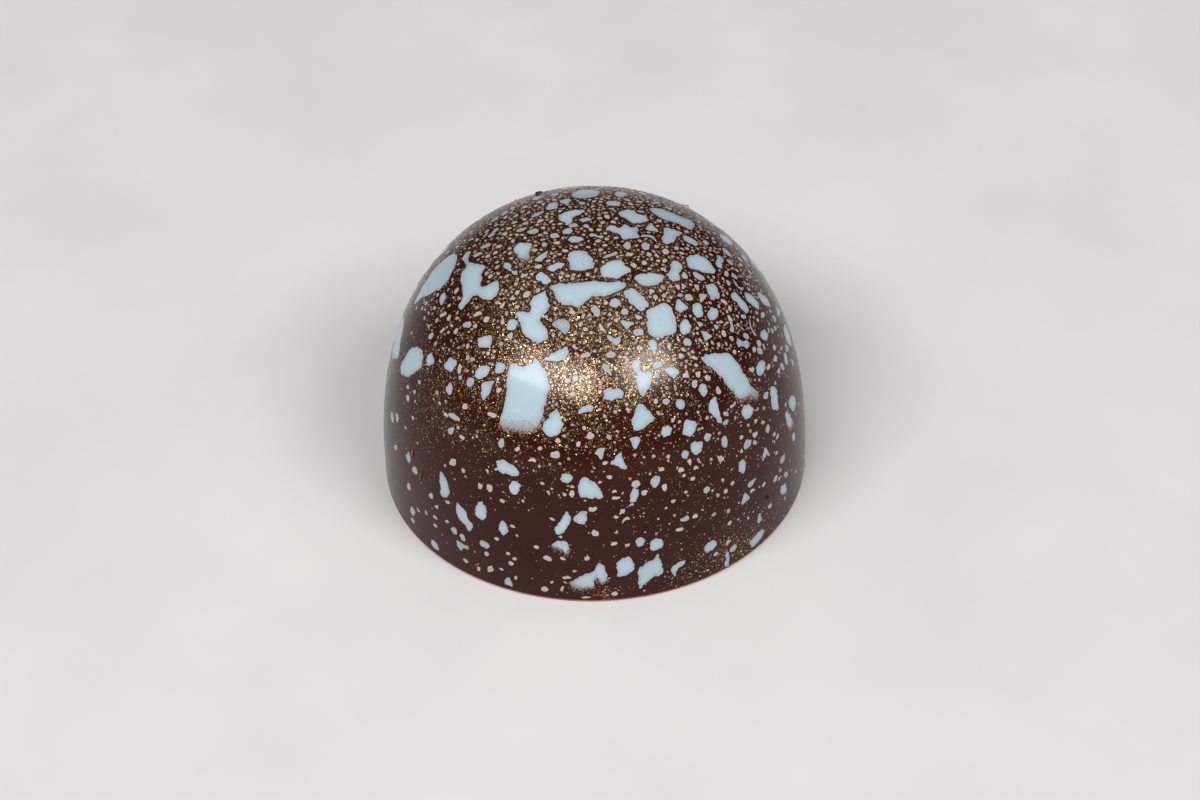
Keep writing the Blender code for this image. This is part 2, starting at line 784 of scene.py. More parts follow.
@dataclass(frozen=True)
class FibreFinish(Finish):
    """Dry orange-brown fibre."""

    name: str = "orange_fibre"
    light: Colour = (0.42, 0.17, 0.075)
    dark: Colour = (0.1, 0.034, 0.016)

    def paint(self, sheet: FinishSheet) -> None:
        """Draw the banded fibre.

        Args:
            sheet: Sheet of the material.
        """
        band = sheet.mottle(5000.0, high=0.35)
        share = sheet.math("ADD", band, sheet.attribute("tone"), clamp=True)
        sheet.give("Base Color", sheet.blend(share, self.dark, self.light))
        sheet.give("Roughness", sheet.mottle(6000.0, 0.5, 0.75))
        sheet.relief(waves=9000.0, grain=20000.0, share=0.5, strength=0.5, depth=0.02 * MM)


@dataclass(frozen=True)
class FloorFinish(Finish):
    """Plain pale tabletop."""

    name: str = "pale_tabletop"
    light: Colour = (0.74, 0.72, 0.72)
    dark: Colour = (0.69, 0.67, 0.675)

    def paint(self, sheet: FinishSheet) -> None:
        """Draw the faintly clouded tabletop.

        Args:
            sheet: Sheet of the material.
        """
        sheet.give("Base Color", sheet.blend(sheet.mottle(60.0), self.light, self.dark))
        sheet.give("Roughness", sheet.mottle(200.0, 0.5, 0.6))


# ------------------------------------------------------------- splash design sheet


class SplashForm(Enum):
    """Outlines that a splash may take, one unit long and one unit wide."""

    ROUND = (
        (0.5, 0.0), (0.36, 0.35), (0.0, 0.5), (-0.36, 0.35),
        (-0.5, 0.0), (-0.36, -0.35), (0.0, -0.5), (0.36, -0.35),
    )
    DROP = (
        (0.55, 0.0), (0.2, 0.26), (-0.15, 0.5), (-0.45, 0.33),
        (-0.5, -0.05), (-0.36, -0.42), (-0.05, -0.5), (0.25, -0.25),
    )
    LEAF = ((0.55, 0.05), (0.15, 0.42), (-0.15, 0.48), (-0.55, 0.0), (-0.2, -0.48), (0.2, -0.5))
    SHARD = ((0.52, 0.12), (0.2, 0.52), (-0.3, 0.42), (-0.52, -0.12), (-0.25, -0.52), (0.3, -0.4))
    BLOCK = ((0.5, 0.38), (0.0, 0.5), (-0.5, 0.44), (-0.47, -0.42), (0.1, -0.5), (0.5, -0.42))
    TRIANGLE = ((0.56, -0.42), (0.08, 0.55), (-0.12, 0.5), (-0.56, -0.35), (-0.1, -0.5))
    BONE = (
        (0.5, 0.15), (0.32, 0.5), (0.05, 0.22), (-0.3, 0.45),
        (-0.5, 0.1), (-0.38, -0.5), (-0.05, -0.28), (0.35, -0.42),
    )
    CRESCENT = (
        (0.52, -0.5), (0.38, 0.15), (0.0, 0.5), (-0.38, 0.2),
        (-0.52, -0.45), (-0.22, -0.12), (0.05, -0.02), (0.28, -0.2),
    )
    FORK = (
        (0.52, 0.5), (0.2, 0.3), (-0.05, 0.12), (-0.3, 0.42), (-0.52, 0.4),
        (-0.35, -0.1), (-0.08, -0.5), (0.12, -0.5), (0.35, 0.0),
    )
    STREAK = ((0.5, 0.1), (0.05, 0.2), (-0.25, 0.5), (-0.5, 0.2), (-0.46, -0.36), (-0.1, -0.42), (0.2, -0.1))
    BITTEN = (
        (0.5, 0.1), (0.3, 0.45), (-0.1, 0.5), (-0.46, 0.3), (-0.5, -0.12),
        (-0.26, -0.36), (-0.06, -0.12), (0.1, -0.48), (0.42, -0.4),
    )


class Chart(Enum):
    """Chart that a row of the design sheet is given on."""

    CROWN = "crown"
    WALL = "wall"


@dataclass(frozen=True)
class DrawnSplash:
    """A splash with an outline of its own, in chart units.

    thin is how powdery the film is, and fade the direction, in degrees from the right,
    in which it gets thinner towards its edge. rounds is how often its corners are cut.
    """

    outline: Outline
    thin: float = 0.0
    fade: float | None = None
    rounds: int = 2


CROWN_DRAWN: tuple[DrawnSplash, ...] = (
    # tall slab on the front left shoulder, powdery at its lower edge
    DrawnSplash(
        ((-5.95, -9.3), (-5.45, -9.2), (-5.0, -9.6), (-4.4, -9.45), (-4.2, -9.5), (-3.95, -9.0),
         (-3.6, -9.6), (-3.2, -10.1), (-3.1, -10.8), (-2.95, -11.3), (-3.45, -11.8), (-3.55, -12.4),
         (-3.8, -13.1), (-4.3, -13.75), (-5.2, -13.85), (-6.2, -13.6), (-7.1, -13.25), (-7.4, -12.7),
         (-6.8, -12.0), (-6.45, -11.0), (-6.2, -10.0)),
        fade=-105.0,
    ),
    # bar across the front of the crown, with a second splash above it
    DrawnSplash(
        ((-2.75, -4.15), (-1.6, -4.1), (-0.2, -4.05), (0.4, -4.05), (1.0, -4.15), (2.0, -4.05),
         (2.4, -4.35), (1.9, -4.8), (0.9, -5.35), (0.2, -5.3), (-0.4, -5.75), (-0.8, -6.25),
         (-1.3, -5.9), (-2.1, -5.8), (-2.4, -5.1)),
        rounds=1,
    ),
    DrawnSplash(
        ((0.75, -2.8), (1.1, -2.3), (1.5, -2.1), (2.1, -2.15), (2.3, -2.6), (2.8, -3.0), (2.4, -3.45),
         (2.0, -3.6), (1.9, -3.8), (1.0, -3.8), (0.6, -3.4)),
    ),
    # block on the crown
    DrawnSplash(
        ((-1.35, -1.3), (-0.8, -0.95), (-0.2, -1.1), (0.1, -1.7), (0.3, -2.4), (0.25, -2.95),
         (-0.6, -3.1), (-1.35, -2.85), (-1.5, -2.0)),
    ),
    # hook left of the front
    DrawnSplash(
        ((-2.9, -4.4), (-2.85, -5.2), (-2.65, -5.9), (-3.1, -6.3), (-3.35, -6.65), (-3.25, -7.0),
         (-2.85, -7.5), (-2.95, -8.0), (-3.6, -8.35), (-4.25, -8.1), (-4.7, -7.4), (-4.8, -6.6),
         (-5.1, -5.85), (-4.6, -5.75), (-4.1, -6.0), (-4.05, -5.4), (-3.85, -4.95), (-3.4, -4.75)),
        rounds=1,
    ),
    # speckled fin beside the hook
    DrawnSplash(
        ((-2.7, -7.1), (-2.2, -6.75), (-1.6, -6.85), (-1.35, -7.4), (-1.75, -8.1), (-2.1, -7.6),
         (-2.6, -7.4)),
        thin=0.45,
    ),
    # slanted capsule below the bar, and the capsule to its right
    DrawnSplash(
        ((2.15, -4.8), (2.7, -4.55), (3.2, -4.95), (3.9, -5.5), (3.7, -6.1), (3.1, -6.25), (2.55, -5.75),
         (2.1, -5.2)),
    ),
    DrawnSplash(
        ((2.8, -3.6), (3.5, -3.2), (4.3, -3.0), (4.85, -3.1), (4.8, -3.8), (4.3, -4.1), (3.6, -4.35),
         (3.05, -4.1)),
    ),
    # square splash right of the front
    DrawnSplash(
        ((3.6, -6.2), (4.3, -5.8), (4.9, -5.45), (5.4, -5.65), (5.7, -6.3), (5.85, -7.35), (5.3, -7.75),
         (4.6, -8.0), (3.85, -7.9), (3.55, -7.2)),
    ),
    # stepped splash on the left
    DrawnSplash(
        ((-8.95, 1.1), (-8.5, 1.65), (-8.1, 1.3), (-8.4, 0.6), (-8.2, 0.1), (-7.9, -0.1), (-7.5, -0.6),
         (-7.05, -0.8), (-7.0, -1.3), (-7.4, -1.7), (-7.2, -2.1), (-7.4, -2.65), (-6.9, -2.8),
         (-6.15, -2.65), (-6.05, -3.3), (-6.3, -4.05), (-6.8, -4.3), (-7.3, -3.95), (-7.6, -3.4),
         (-8.1, -3.3), (-8.5, -3.6), (-9.1, -3.95), (-9.4, -3.5), (-8.95, -3.1), (-8.85, -2.2),
         (-8.95, -1.4), (-8.8, -0.5), (-8.5, -0.2), (-8.6, 0.4)),
        rounds=1,
    ),
    # bone, oval and spiked splashes on the right of the crown
    DrawnSplash(
        ((5.4, -1.7), (5.85, -1.55), (6.2, -1.95), (6.0, -2.6), (5.85, -3.35), (5.45, -3.55),
         (5.05, -3.15), (5.3, -2.4)),
    ),
    DrawnSplash(
        ((6.35, -1.1), (6.8, -0.5), (7.5, -0.3), (8.2, -0.55), (8.7, -1.2), (8.2, -1.9), (7.3, -1.95),
         (6.6, -2.0)),
    ),
    DrawnSplash(
        ((1.05, 1.0), (1.25, 1.55), (1.75, 1.55), (2.0, 1.2), (2.4, 1.7), (2.8, 1.3), (3.35, 1.5),
         (3.15, 0.8), (3.4, 0.25), (2.8, 0.15), (2.25, 0.0), (2.0, 0.5), (1.5, 0.75)),
    ),
    DrawnSplash(
        ((4.9, 1.8), (5.7, 1.9), (6.4, 1.75), (5.95, 1.1), (5.7, 0.5), (5.2, -0.1), (4.75, 0.1),
         (4.7, 0.6), (4.95, 1.1)),
    ),
    # splashes on the far side of the crown
    DrawnSplash(
        ((1.95, 3.0), (2.4, 3.55), (3.05, 3.6), (3.3, 3.1), (3.85, 3.1), (4.05, 2.5), (3.6, 1.95),
         (2.9, 1.7), (2.4, 2.3)),
    ),
    DrawnSplash(
        ((4.15, 4.2), (4.9, 4.6), (5.6, 4.25), (6.4, 4.05), (7.3, 3.95), (7.35, 3.0), (7.0, 2.3),
         (6.2, 2.75), (5.4, 2.8), (4.7, 3.1), (4.2, 3.7)),
    ),
    DrawnSplash(
        ((-1.2, 6.0), (-0.95, 6.85), (-0.3, 7.25), (0.5, 7.05), (0.95, 6.2), (0.6, 5.5), (-0.1, 5.25),
         (-0.8, 5.4)),
    ),
    DrawnSplash(
        ((-2.05, 2.9), (-1.5, 3.35), (-0.9, 3.65), (-0.25, 3.55), (-0.15, 3.1), (-0.7, 2.85),
         (-1.05, 2.6), (-1.1, 2.1), (-1.45, 1.65), (-1.9, 2.2)),
    ),
    DrawnSplash(
        ((-5.15, -0.3), (-4.9, 0.2), (-4.3, 0.4), (-3.7, 0.15), (-3.8, -0.5), (-4.0, -0.9),
         (-3.75, -1.35), (-4.1, -1.65), (-4.55, -1.35), (-4.7, -0.85)),
        fade=-80.0,
    ),
    # broad leaf on the left flank
    DrawnSplash(
        ((-9.3, 2.0), (-9.3, 1.0), (-9.6, 0.2), (-10.1, -0.5), (-10.8, -0.8), (-11.6, -0.45),
         (-12.4, 0.0), (-13.3, 0.5), (-13.9, 0.9), (-13.0, 1.8), (-11.8, 2.55), (-10.8, 2.75),
         (-9.8, 2.6)),
    ),
    # wedge with a tail on the right shoulder
    DrawnSplash(
        ((7.5, -8.6), (8.6, -8.05), (9.9, -7.45), (10.6, -7.55), (11.3, -8.05), (12.1, -8.45),
         (13.0, -8.65), (13.6, -8.7), (13.4, -9.25), (12.6, -9.3), (12.2, -9.85), (11.6, -10.15),
         (10.6, -9.85), (9.2, -9.25), (8.4, -9.05)),
        fade=-25.0,
    ),
    # forked splash and its neighbours on the front right shoulder
    DrawnSplash(
        ((2.7, -9.75), (3.3, -9.65), (3.4, -10.4), (3.9, -10.25), (4.35, -10.5), (4.15, -11.0),
         (3.95, -11.5), (3.8, -12.05), (3.3, -12.05), (3.1, -11.4), (3.05, -10.7), (2.75, -10.4)),
    ),
    DrawnSplash(
        ((4.9, -10.0), (5.6, -9.75), (6.2, -9.95), (5.9, -10.55), (5.3, -10.35)),
        rounds=1,
    ),
    DrawnSplash(
        ((2.95, -12.8), (3.4, -12.45), (4.0, -12.9), (4.75, -13.3), (4.2, -13.7), (3.8, -14.05),
         (3.05, -14.25), (2.85, -13.6)),
    ),
    DrawnSplash(
        ((8.8, -11.55), (9.05, -11.0), (9.4, -10.75), (9.7, -11.2), (10.0, -11.8), (10.5, -12.4),
         (10.0, -12.45), (9.4, -12.15), (8.9, -11.85)),
    ),
    # splashes beside the slab
    DrawnSplash(
        ((-3.4, -9.45), (-2.8, -9.1), (-2.2, -8.9), (-1.8, -8.7), (-1.45, -9.1), (-1.7, -9.65),
         (-2.3, -9.7), (-3.0, -9.6)),
    ),
    DrawnSplash(
        ((-8.3, -9.9), (-7.7, -9.75), (-7.05, -9.9), (-7.5, -10.4), (-8.0, -11.05), (-8.4, -10.95),
         (-8.45, -10.4)),
    ),
    DrawnSplash(
        ((-2.75, -12.65), (-2.4, -13.1), (-2.25, -13.6), (-2.5, -14.25), (-3.0, -14.55), (-3.6, -14.55),
         (-4.0, -14.0), (-3.85, -13.5), (-3.2, -13.1)),
    ),
)

WALL_DRAWN: tuple[DrawnSplash, ...] = (
    # upper part of the wall, front
    DrawnSplash(
        ((-4.6, 17.8), (-3.6, 17.5), (-1.5, 17.65), (0.3, 18.0), (1.7, 18.6), (1.9, 19.05),
         (-1.0, 19.05), (-4.0, 18.95), (-5.1, 18.6)),
    ),
    DrawnSplash(
        ((-29.2, 17.3), (-26.0, 17.1), (-23.5, 17.2), (-21.5, 17.65), (-22.3, 18.0), (-25.5, 18.05),
         (-29.6, 18.05), (-28.2, 17.75)),
        rounds=1,
    ),
    DrawnSplash(
        ((-8.1, 20.0), (-6.5, 20.5), (-7.5, 21.3), (-9.2, 21.8), (-10.5, 21.95), (-11.1, 21.5),
         (-10.0, 20.9), (-8.8, 20.4)),
    ),
    DrawnSplash(
        ((-6.2, 20.4), (-4.6, 20.1), (-3.1, 19.95), (-2.5, 20.5), (-3.2, 21.1), (-4.6, 21.0),
         (-6.0, 20.9)),
    ),
    DrawnSplash(
        ((-12.2, 22.8), (-10.6, 22.4), (-8.1, 22.35), (-7.5, 22.9), (-8.2, 23.55), (-9.6, 23.1),
         (-11.8, 22.95)),
        fade=-60.0, rounds=1,
    ),
    # finned splash and the large ones near the foot
    DrawnSplash(
        ((-7.4, 26.0), (-5.6, 25.5), (-3.6, 25.0), (-1.2, 25.0), (-0.6, 24.3), (0.3, 24.05), (1.7, 24.6),
         (2.2, 25.3), (1.6, 25.8), (0.5, 26.05), (-0.6, 25.45), (-1.3, 26.35), (-3.5, 26.35),
         (-6.2, 26.45)),
        fade=-110.0,
    ),
    DrawnSplash(
        ((4.5, 24.2), (6.0, 23.9), (8.3, 23.9), (9.5, 24.5), (9.0, 25.15), (7.5, 25.35), (6.0, 25.6),
         (4.5, 25.45), (5.0, 24.9)),
    ),
    DrawnSplash(
        ((10.5, 25.0), (12.5, 24.6), (14.6, 24.4), (15.6, 24.0), (17.0, 24.6), (17.1, 25.3),
         (16.6, 26.0), (14.8, 25.9), (13.2, 26.2), (11.6, 26.45), (10.8, 26.9), (10.1, 26.2)),
    ),
    DrawnSplash(
        ((19.1, 25.65), (20.5, 25.3), (22.5, 25.15), (24.0, 25.25), (22.6, 25.65), (21.0, 25.95),
         (20.2, 26.5), (19.3, 26.0)),
    ),
    # left wall
    DrawnSplash(
        ((-46.8, 20.0), (-44.6, 20.4), (-42.9, 20.9), (-43.1, 21.45), (-44.0, 21.95), (-46.2, 21.95),
         (-46.2, 21.3), (-47.1, 20.8)),
        rounds=1,
    ),
    DrawnSplash(
        ((-40.5, 21.6), (-39.0, 22.0), (-37.1, 22.0), (-36.4, 22.7), (-34.9, 22.85), (-34.9, 23.3),
         (-35.8, 23.75), (-37.8, 23.2), (-39.7, 22.95), (-40.3, 22.3)),
        rounds=1,
    ),
    DrawnSplash(
        ((-32.0, 20.5), (-30.5, 21.1), (-30.4, 21.9), (-31.6, 22.3), (-33.9, 22.1), (-33.9, 21.2)),
    ),
    DrawnSplash(
        ((-40.4, 24.8), (-38.2, 25.05), (-36.1, 24.9), (-36.1, 25.3), (-38.0, 25.3), (-38.8, 25.75),
         (-40.1, 25.4)),
        thin=0.2, rounds=1,
    ),
    DrawnSplash(
        ((-76.5, 14.7), (-74.0, 14.15), (-71.0, 13.85), (-69.0, 14.0), (-66.6, 14.7), (-68.5, 15.3),
         (-70.0, 16.0), (-73.0, 16.5), (-76.0, 17.0), (-78.7, 16.7), (-78.0, 15.6)),
    ),
    # right wall
    DrawnSplash(
        ((61.7, 17.35), (63.6, 16.7), (65.3, 16.75), (66.1, 17.3), (65.0, 18.0), (63.8, 18.65),
         (62.4, 18.4), (60.9, 18.1)),
    ),
    DrawnSplash(
        ((47.4, 16.5), (49.3, 16.0), (52.0, 16.15), (53.4, 16.8), (51.6, 17.1), (48.8, 16.95)),
    ),
    DrawnSplash(
        ((69.4, 19.2), (72.0, 19.1), (75.2, 19.4), (76.3, 20.2), (74.0, 20.5), (71.5, 20.15)),
    ),
    DrawnSplash(
        ((66.0, 19.6), (68.0, 19.4), (69.3, 19.9), (70.6, 20.9), (69.0, 21.0), (66.5, 20.65)),
        fade=-60.0,
    ),
    # small pointed splashes on the front wall
    DrawnSplash(
        ((4.0, 16.65), (5.6, 16.3), (7.2, 15.9), (8.1, 16.4), (8.9, 17.15), (7.8, 17.15), (6.2, 16.85)),
        rounds=1,
    ),
    DrawnSplash(
        ((-0.2, 15.85), (1.3, 15.45), (3.1, 15.5), (1.8, 16.4), (0.4, 16.0)),
        rounds=1,
    ),
    DrawnSplash(
        ((-26.1, 27.2), (-24.3, 26.2), (-22.6, 27.2)),
        rounds=1,
    ),
)

# x, y, length, width and lean of each splash on the crown chart
CROWN_ROWS: dict[SplashForm, tuple[Row, ...]] = {
    SplashForm.ROUND: (
        (-5.35, -6.6, 0.9, 0.85, 0), (-6.6, -9.25, 0.9, 0.85, 0), (-8, -9.1, 1.35, 1.05, 0),
        (-9.1, -9.4, 0.8, 0.7, 0), (-11.1, -9, 0.9, 0.75, 90), (-12, -4.25, 0.6, 0.55, 0),
        (-10.1, -3.95, 0.5, 0.5, 0), (-7.15, -5.6, 0.5, 0.5, 0), (-4.9, -3.5, 0.4, 0.35, 90),
        (-4.9, -5.4, 0.4, 0.35, 0), (-9.65, -5.35, 0.45, 0.4, 0), (-2.3, 0.6, 0.65, 0.6, 0),
        (-1.4, 1, 0.8, 0.75, 0), (-0.15, -3.45, 0.4, 0.35, 0), (3.9, -1.4, 0.45, 0.4, 0),
        (6.3, -2.75, 0.6, 0.5, 90), (4, -4.6, 0.4, 0.4, 0), (7.65, -9.8, 0.5, 0.5, 0),
        (9.5, -10.35, 0.6, 0.55, 90), (6.5, -12.05, 0.85, 0.8, 0), (8.45, -14.65, 1.2, 1.15, 30),
        (7.5, -15.35, 0.75, 0.7, 0), (5.35, -12.1, 0.65, 0.5, 0), (4.55, -12.2, 0.45, 0.4, 0),
        (6.2, -8.9, 0.5, 0.4, 20), (5.7, -9.25, 0.35, 0.3, 0), (9.4, -6.2, 0.5, 0.5, 0),
        (10.1, -6.3, 0.45, 0.4, 0), (3.15, -7.8, 0.7, 0.6, 0), (3.2, -8.85, 0.5, 0.4, 0),
        (4.1, -8.55, 0.8, 0.7, 90), (1.55, -5.8, 0.85, 0.75, 0), (2.2, -6.4, 0.6, 0.55, 0),
        (-1.8, -11, 0.5, 0.4, 0), (-1.2, -10.9, 0.5, 0.5, 0), (-2.9, -14.85, 0.5, 0.4, 0),
        (-6.3, -14.85, 0.5, 0.4, 0), (-0.75, -14.15, 0.4, 0.3, 0), (-10.55, -1.95, 1.15, 0.7, 80),
        (-10.6, -3.35, 0.8, 0.45, -25), (-10.6, -7.45, 1.35, 0.9, -25), (-9.85, -8.15, 0.75, 0.45, 60),
        (-7.55, -14.15, 0.75, 0.6, 70), (-0.6, -12.95, 1.15, 0.55, 12), (-0.35, -14.7, 0.7, 0.5, 0),
        (-0.2, 2.2, 0.95, 0.5, 5), (-3.4, 3.5, 1, 0.5, 28), (-4.5, 1.85, 0.85, 0.45, 10),
        (-7, 1.15, 0.8, 0.5, 0), (-7.6, 0.55, 0.85, 0.4, -10), (6.8, 1, 1.35, 0.8, -25),
        (8, 1.5, 0.75, 0.5, 80), (7.3, -2.45, 1.05, 0.6, -12), (1.25, -9.45, 0.7, 0.5, 0),
        (-4.4, -15.15, 0.4, 0.3, 0), (7.45, -10.5, 0.65, 0.45, 85), (-1.3, -15.2, 0.5, 0.4, 30),
        (-6.9, -10.7, 0.6, 0.4, 0), (-7.85, -12.1, 0.85, 0.4, -25), (10.2, -0.75, 0.65, 0.6, 0),
        (9.9, 0.6, 0.65, 0.6, 0), (9.5, -1, 0.75, 0.4, 80), (-3.4, -2.35, 0.5, 0.45, 0),
        (-4.2, -4.55, 0.6, 0.55, 0), (1.15, 0.05, 0.4, 0.35, 0), (-6.3, 0, 0.4, 0.4, 0),
        (-6.85, -0.1, 0.4, 0.35, 40), (-2.1, -0.2, 0.5, 0.35, 0), (11.4, -5.4, 0.7, 0.5, 30),
        (1, -0.65, 0.45, 0.35, -20), (-5.35, 2.4, 0.45, 0.4, 0), (8.3, 0.25, 0.45, 0.3, 0),
        (6.6, 2, 0.4, 0.35, 0), (3.5, 5.1, 0.6, 0.45, 0), (-6.5, 4.6, 0.7, 0.5, 30),
        (-5.8, 5.2, 0.9, 0.5, 70), (5.5, 4.95, 0.6, 0.4, 0),
    ),
    SplashForm.BLOCK: (
        (-2.4, 4.4, 1.15, 0.85, 80), (1.7, 4.4, 1, 0.8, 0), (8.4, -3.3, 1.25, 1, -60),
        (7.5, -13.5, 1.15, 1.1, 85), (-7.5, -7.1, 1.1, 0.9, -8), (4.5, -9.85, 0.75, 0.5, 30),
        (10.7, -2.95, 1.75, 1, -20), (-3.05, -3.5, 1.25, 0.65, -50), (1.4, -12, 1.45, 0.8, 8),
        (13.3, -0.45, 1.6, 1, 30), (11.85, -1.9, 1.55, 0.95, 5),
    ),
    SplashForm.SHARD: (
        (-3.7, 1.4, 0.8, 0.65, 0), (2.5, -0.6, 0.9, 0.6, 75), (3.7, -0.6, 0.85, 0.6, 75),
        (5, -0.85, 0.65, 0.5, 60), (7.25, -5.3, 1.25, 0.95, 80), (6.4, -6.8, 1.25, 0.95, 80),
        (6.55, -7.85, 0.75, 0.65, 0), (8.4, -5.1, 1.25, 0.75, 55), (8.2, -10.7, 0.9, 0.8, 60),
        (9.3, -13.65, 0.75, 0.6, 15), (5.6, -14.05, 1.05, 0.8, 10), (0.3, -6.4, 0.95, 0.55, -70),
        (-2.2, -2.55, 1.25, 0.7, 10), (-0.9, 0.05, 1.05, 0.65, -15), (6.6, -4.55, 0.7, 0.5, 10),
        (-1, 1.6, 0.7, 0.45, -10), (-0.5, -9.45, 0.75, 0.4, 0),
    ),
    SplashForm.DROP: (
        (-3.1, -1.4, 1.15, 0.65, 50), (-1.5, 4.8, 1.15, 0.8, -85), (1, -10.4, 0.95, 0.5, -55),
        (-5.55, -7.4, 0.65, 0.5, -90), (-9.65, -1.05, 0.45, 0.3, 60), (0.75, -7.7, 0.8, 0.3, -50),
    ),
    SplashForm.TRIANGLE: (
        (6, -5.4, 1.05, 0.85, 150), (8, -7, 0.95, 0.6, 175), (4.2, 1.6, 0.9, 1, 0),
        (2.35, -7.35, 1, 0.65, 175), (7.6, -4.1, 1, 0.5, 60),
    ),
    SplashForm.FORK: (
        (1.6, -8.45, 1.15, 0.8, 5),
    ),
    SplashForm.CRESCENT: (
        (4, 0.4, 1.15, 0.65, -20), (10.6, -1.45, 1.05, 0.75, 185),
    ),
    SplashForm.BONE: (
        (-5.25, -2.05, 1.8, 0.5, -60), (8.95, -0.1, 1.55, 0.7, 80), (9.95, -5.2, 1.45, 0.5, -75),
        (1.35, -1.65, 1.2, 0.45, 28), (0.5, 0.35, 1, 0.4, -25), (11.2, -6.15, 1.6, 0.7, 25),
        (-6.5, 2.5, 1.3, 0.5, 50),
    ),
}

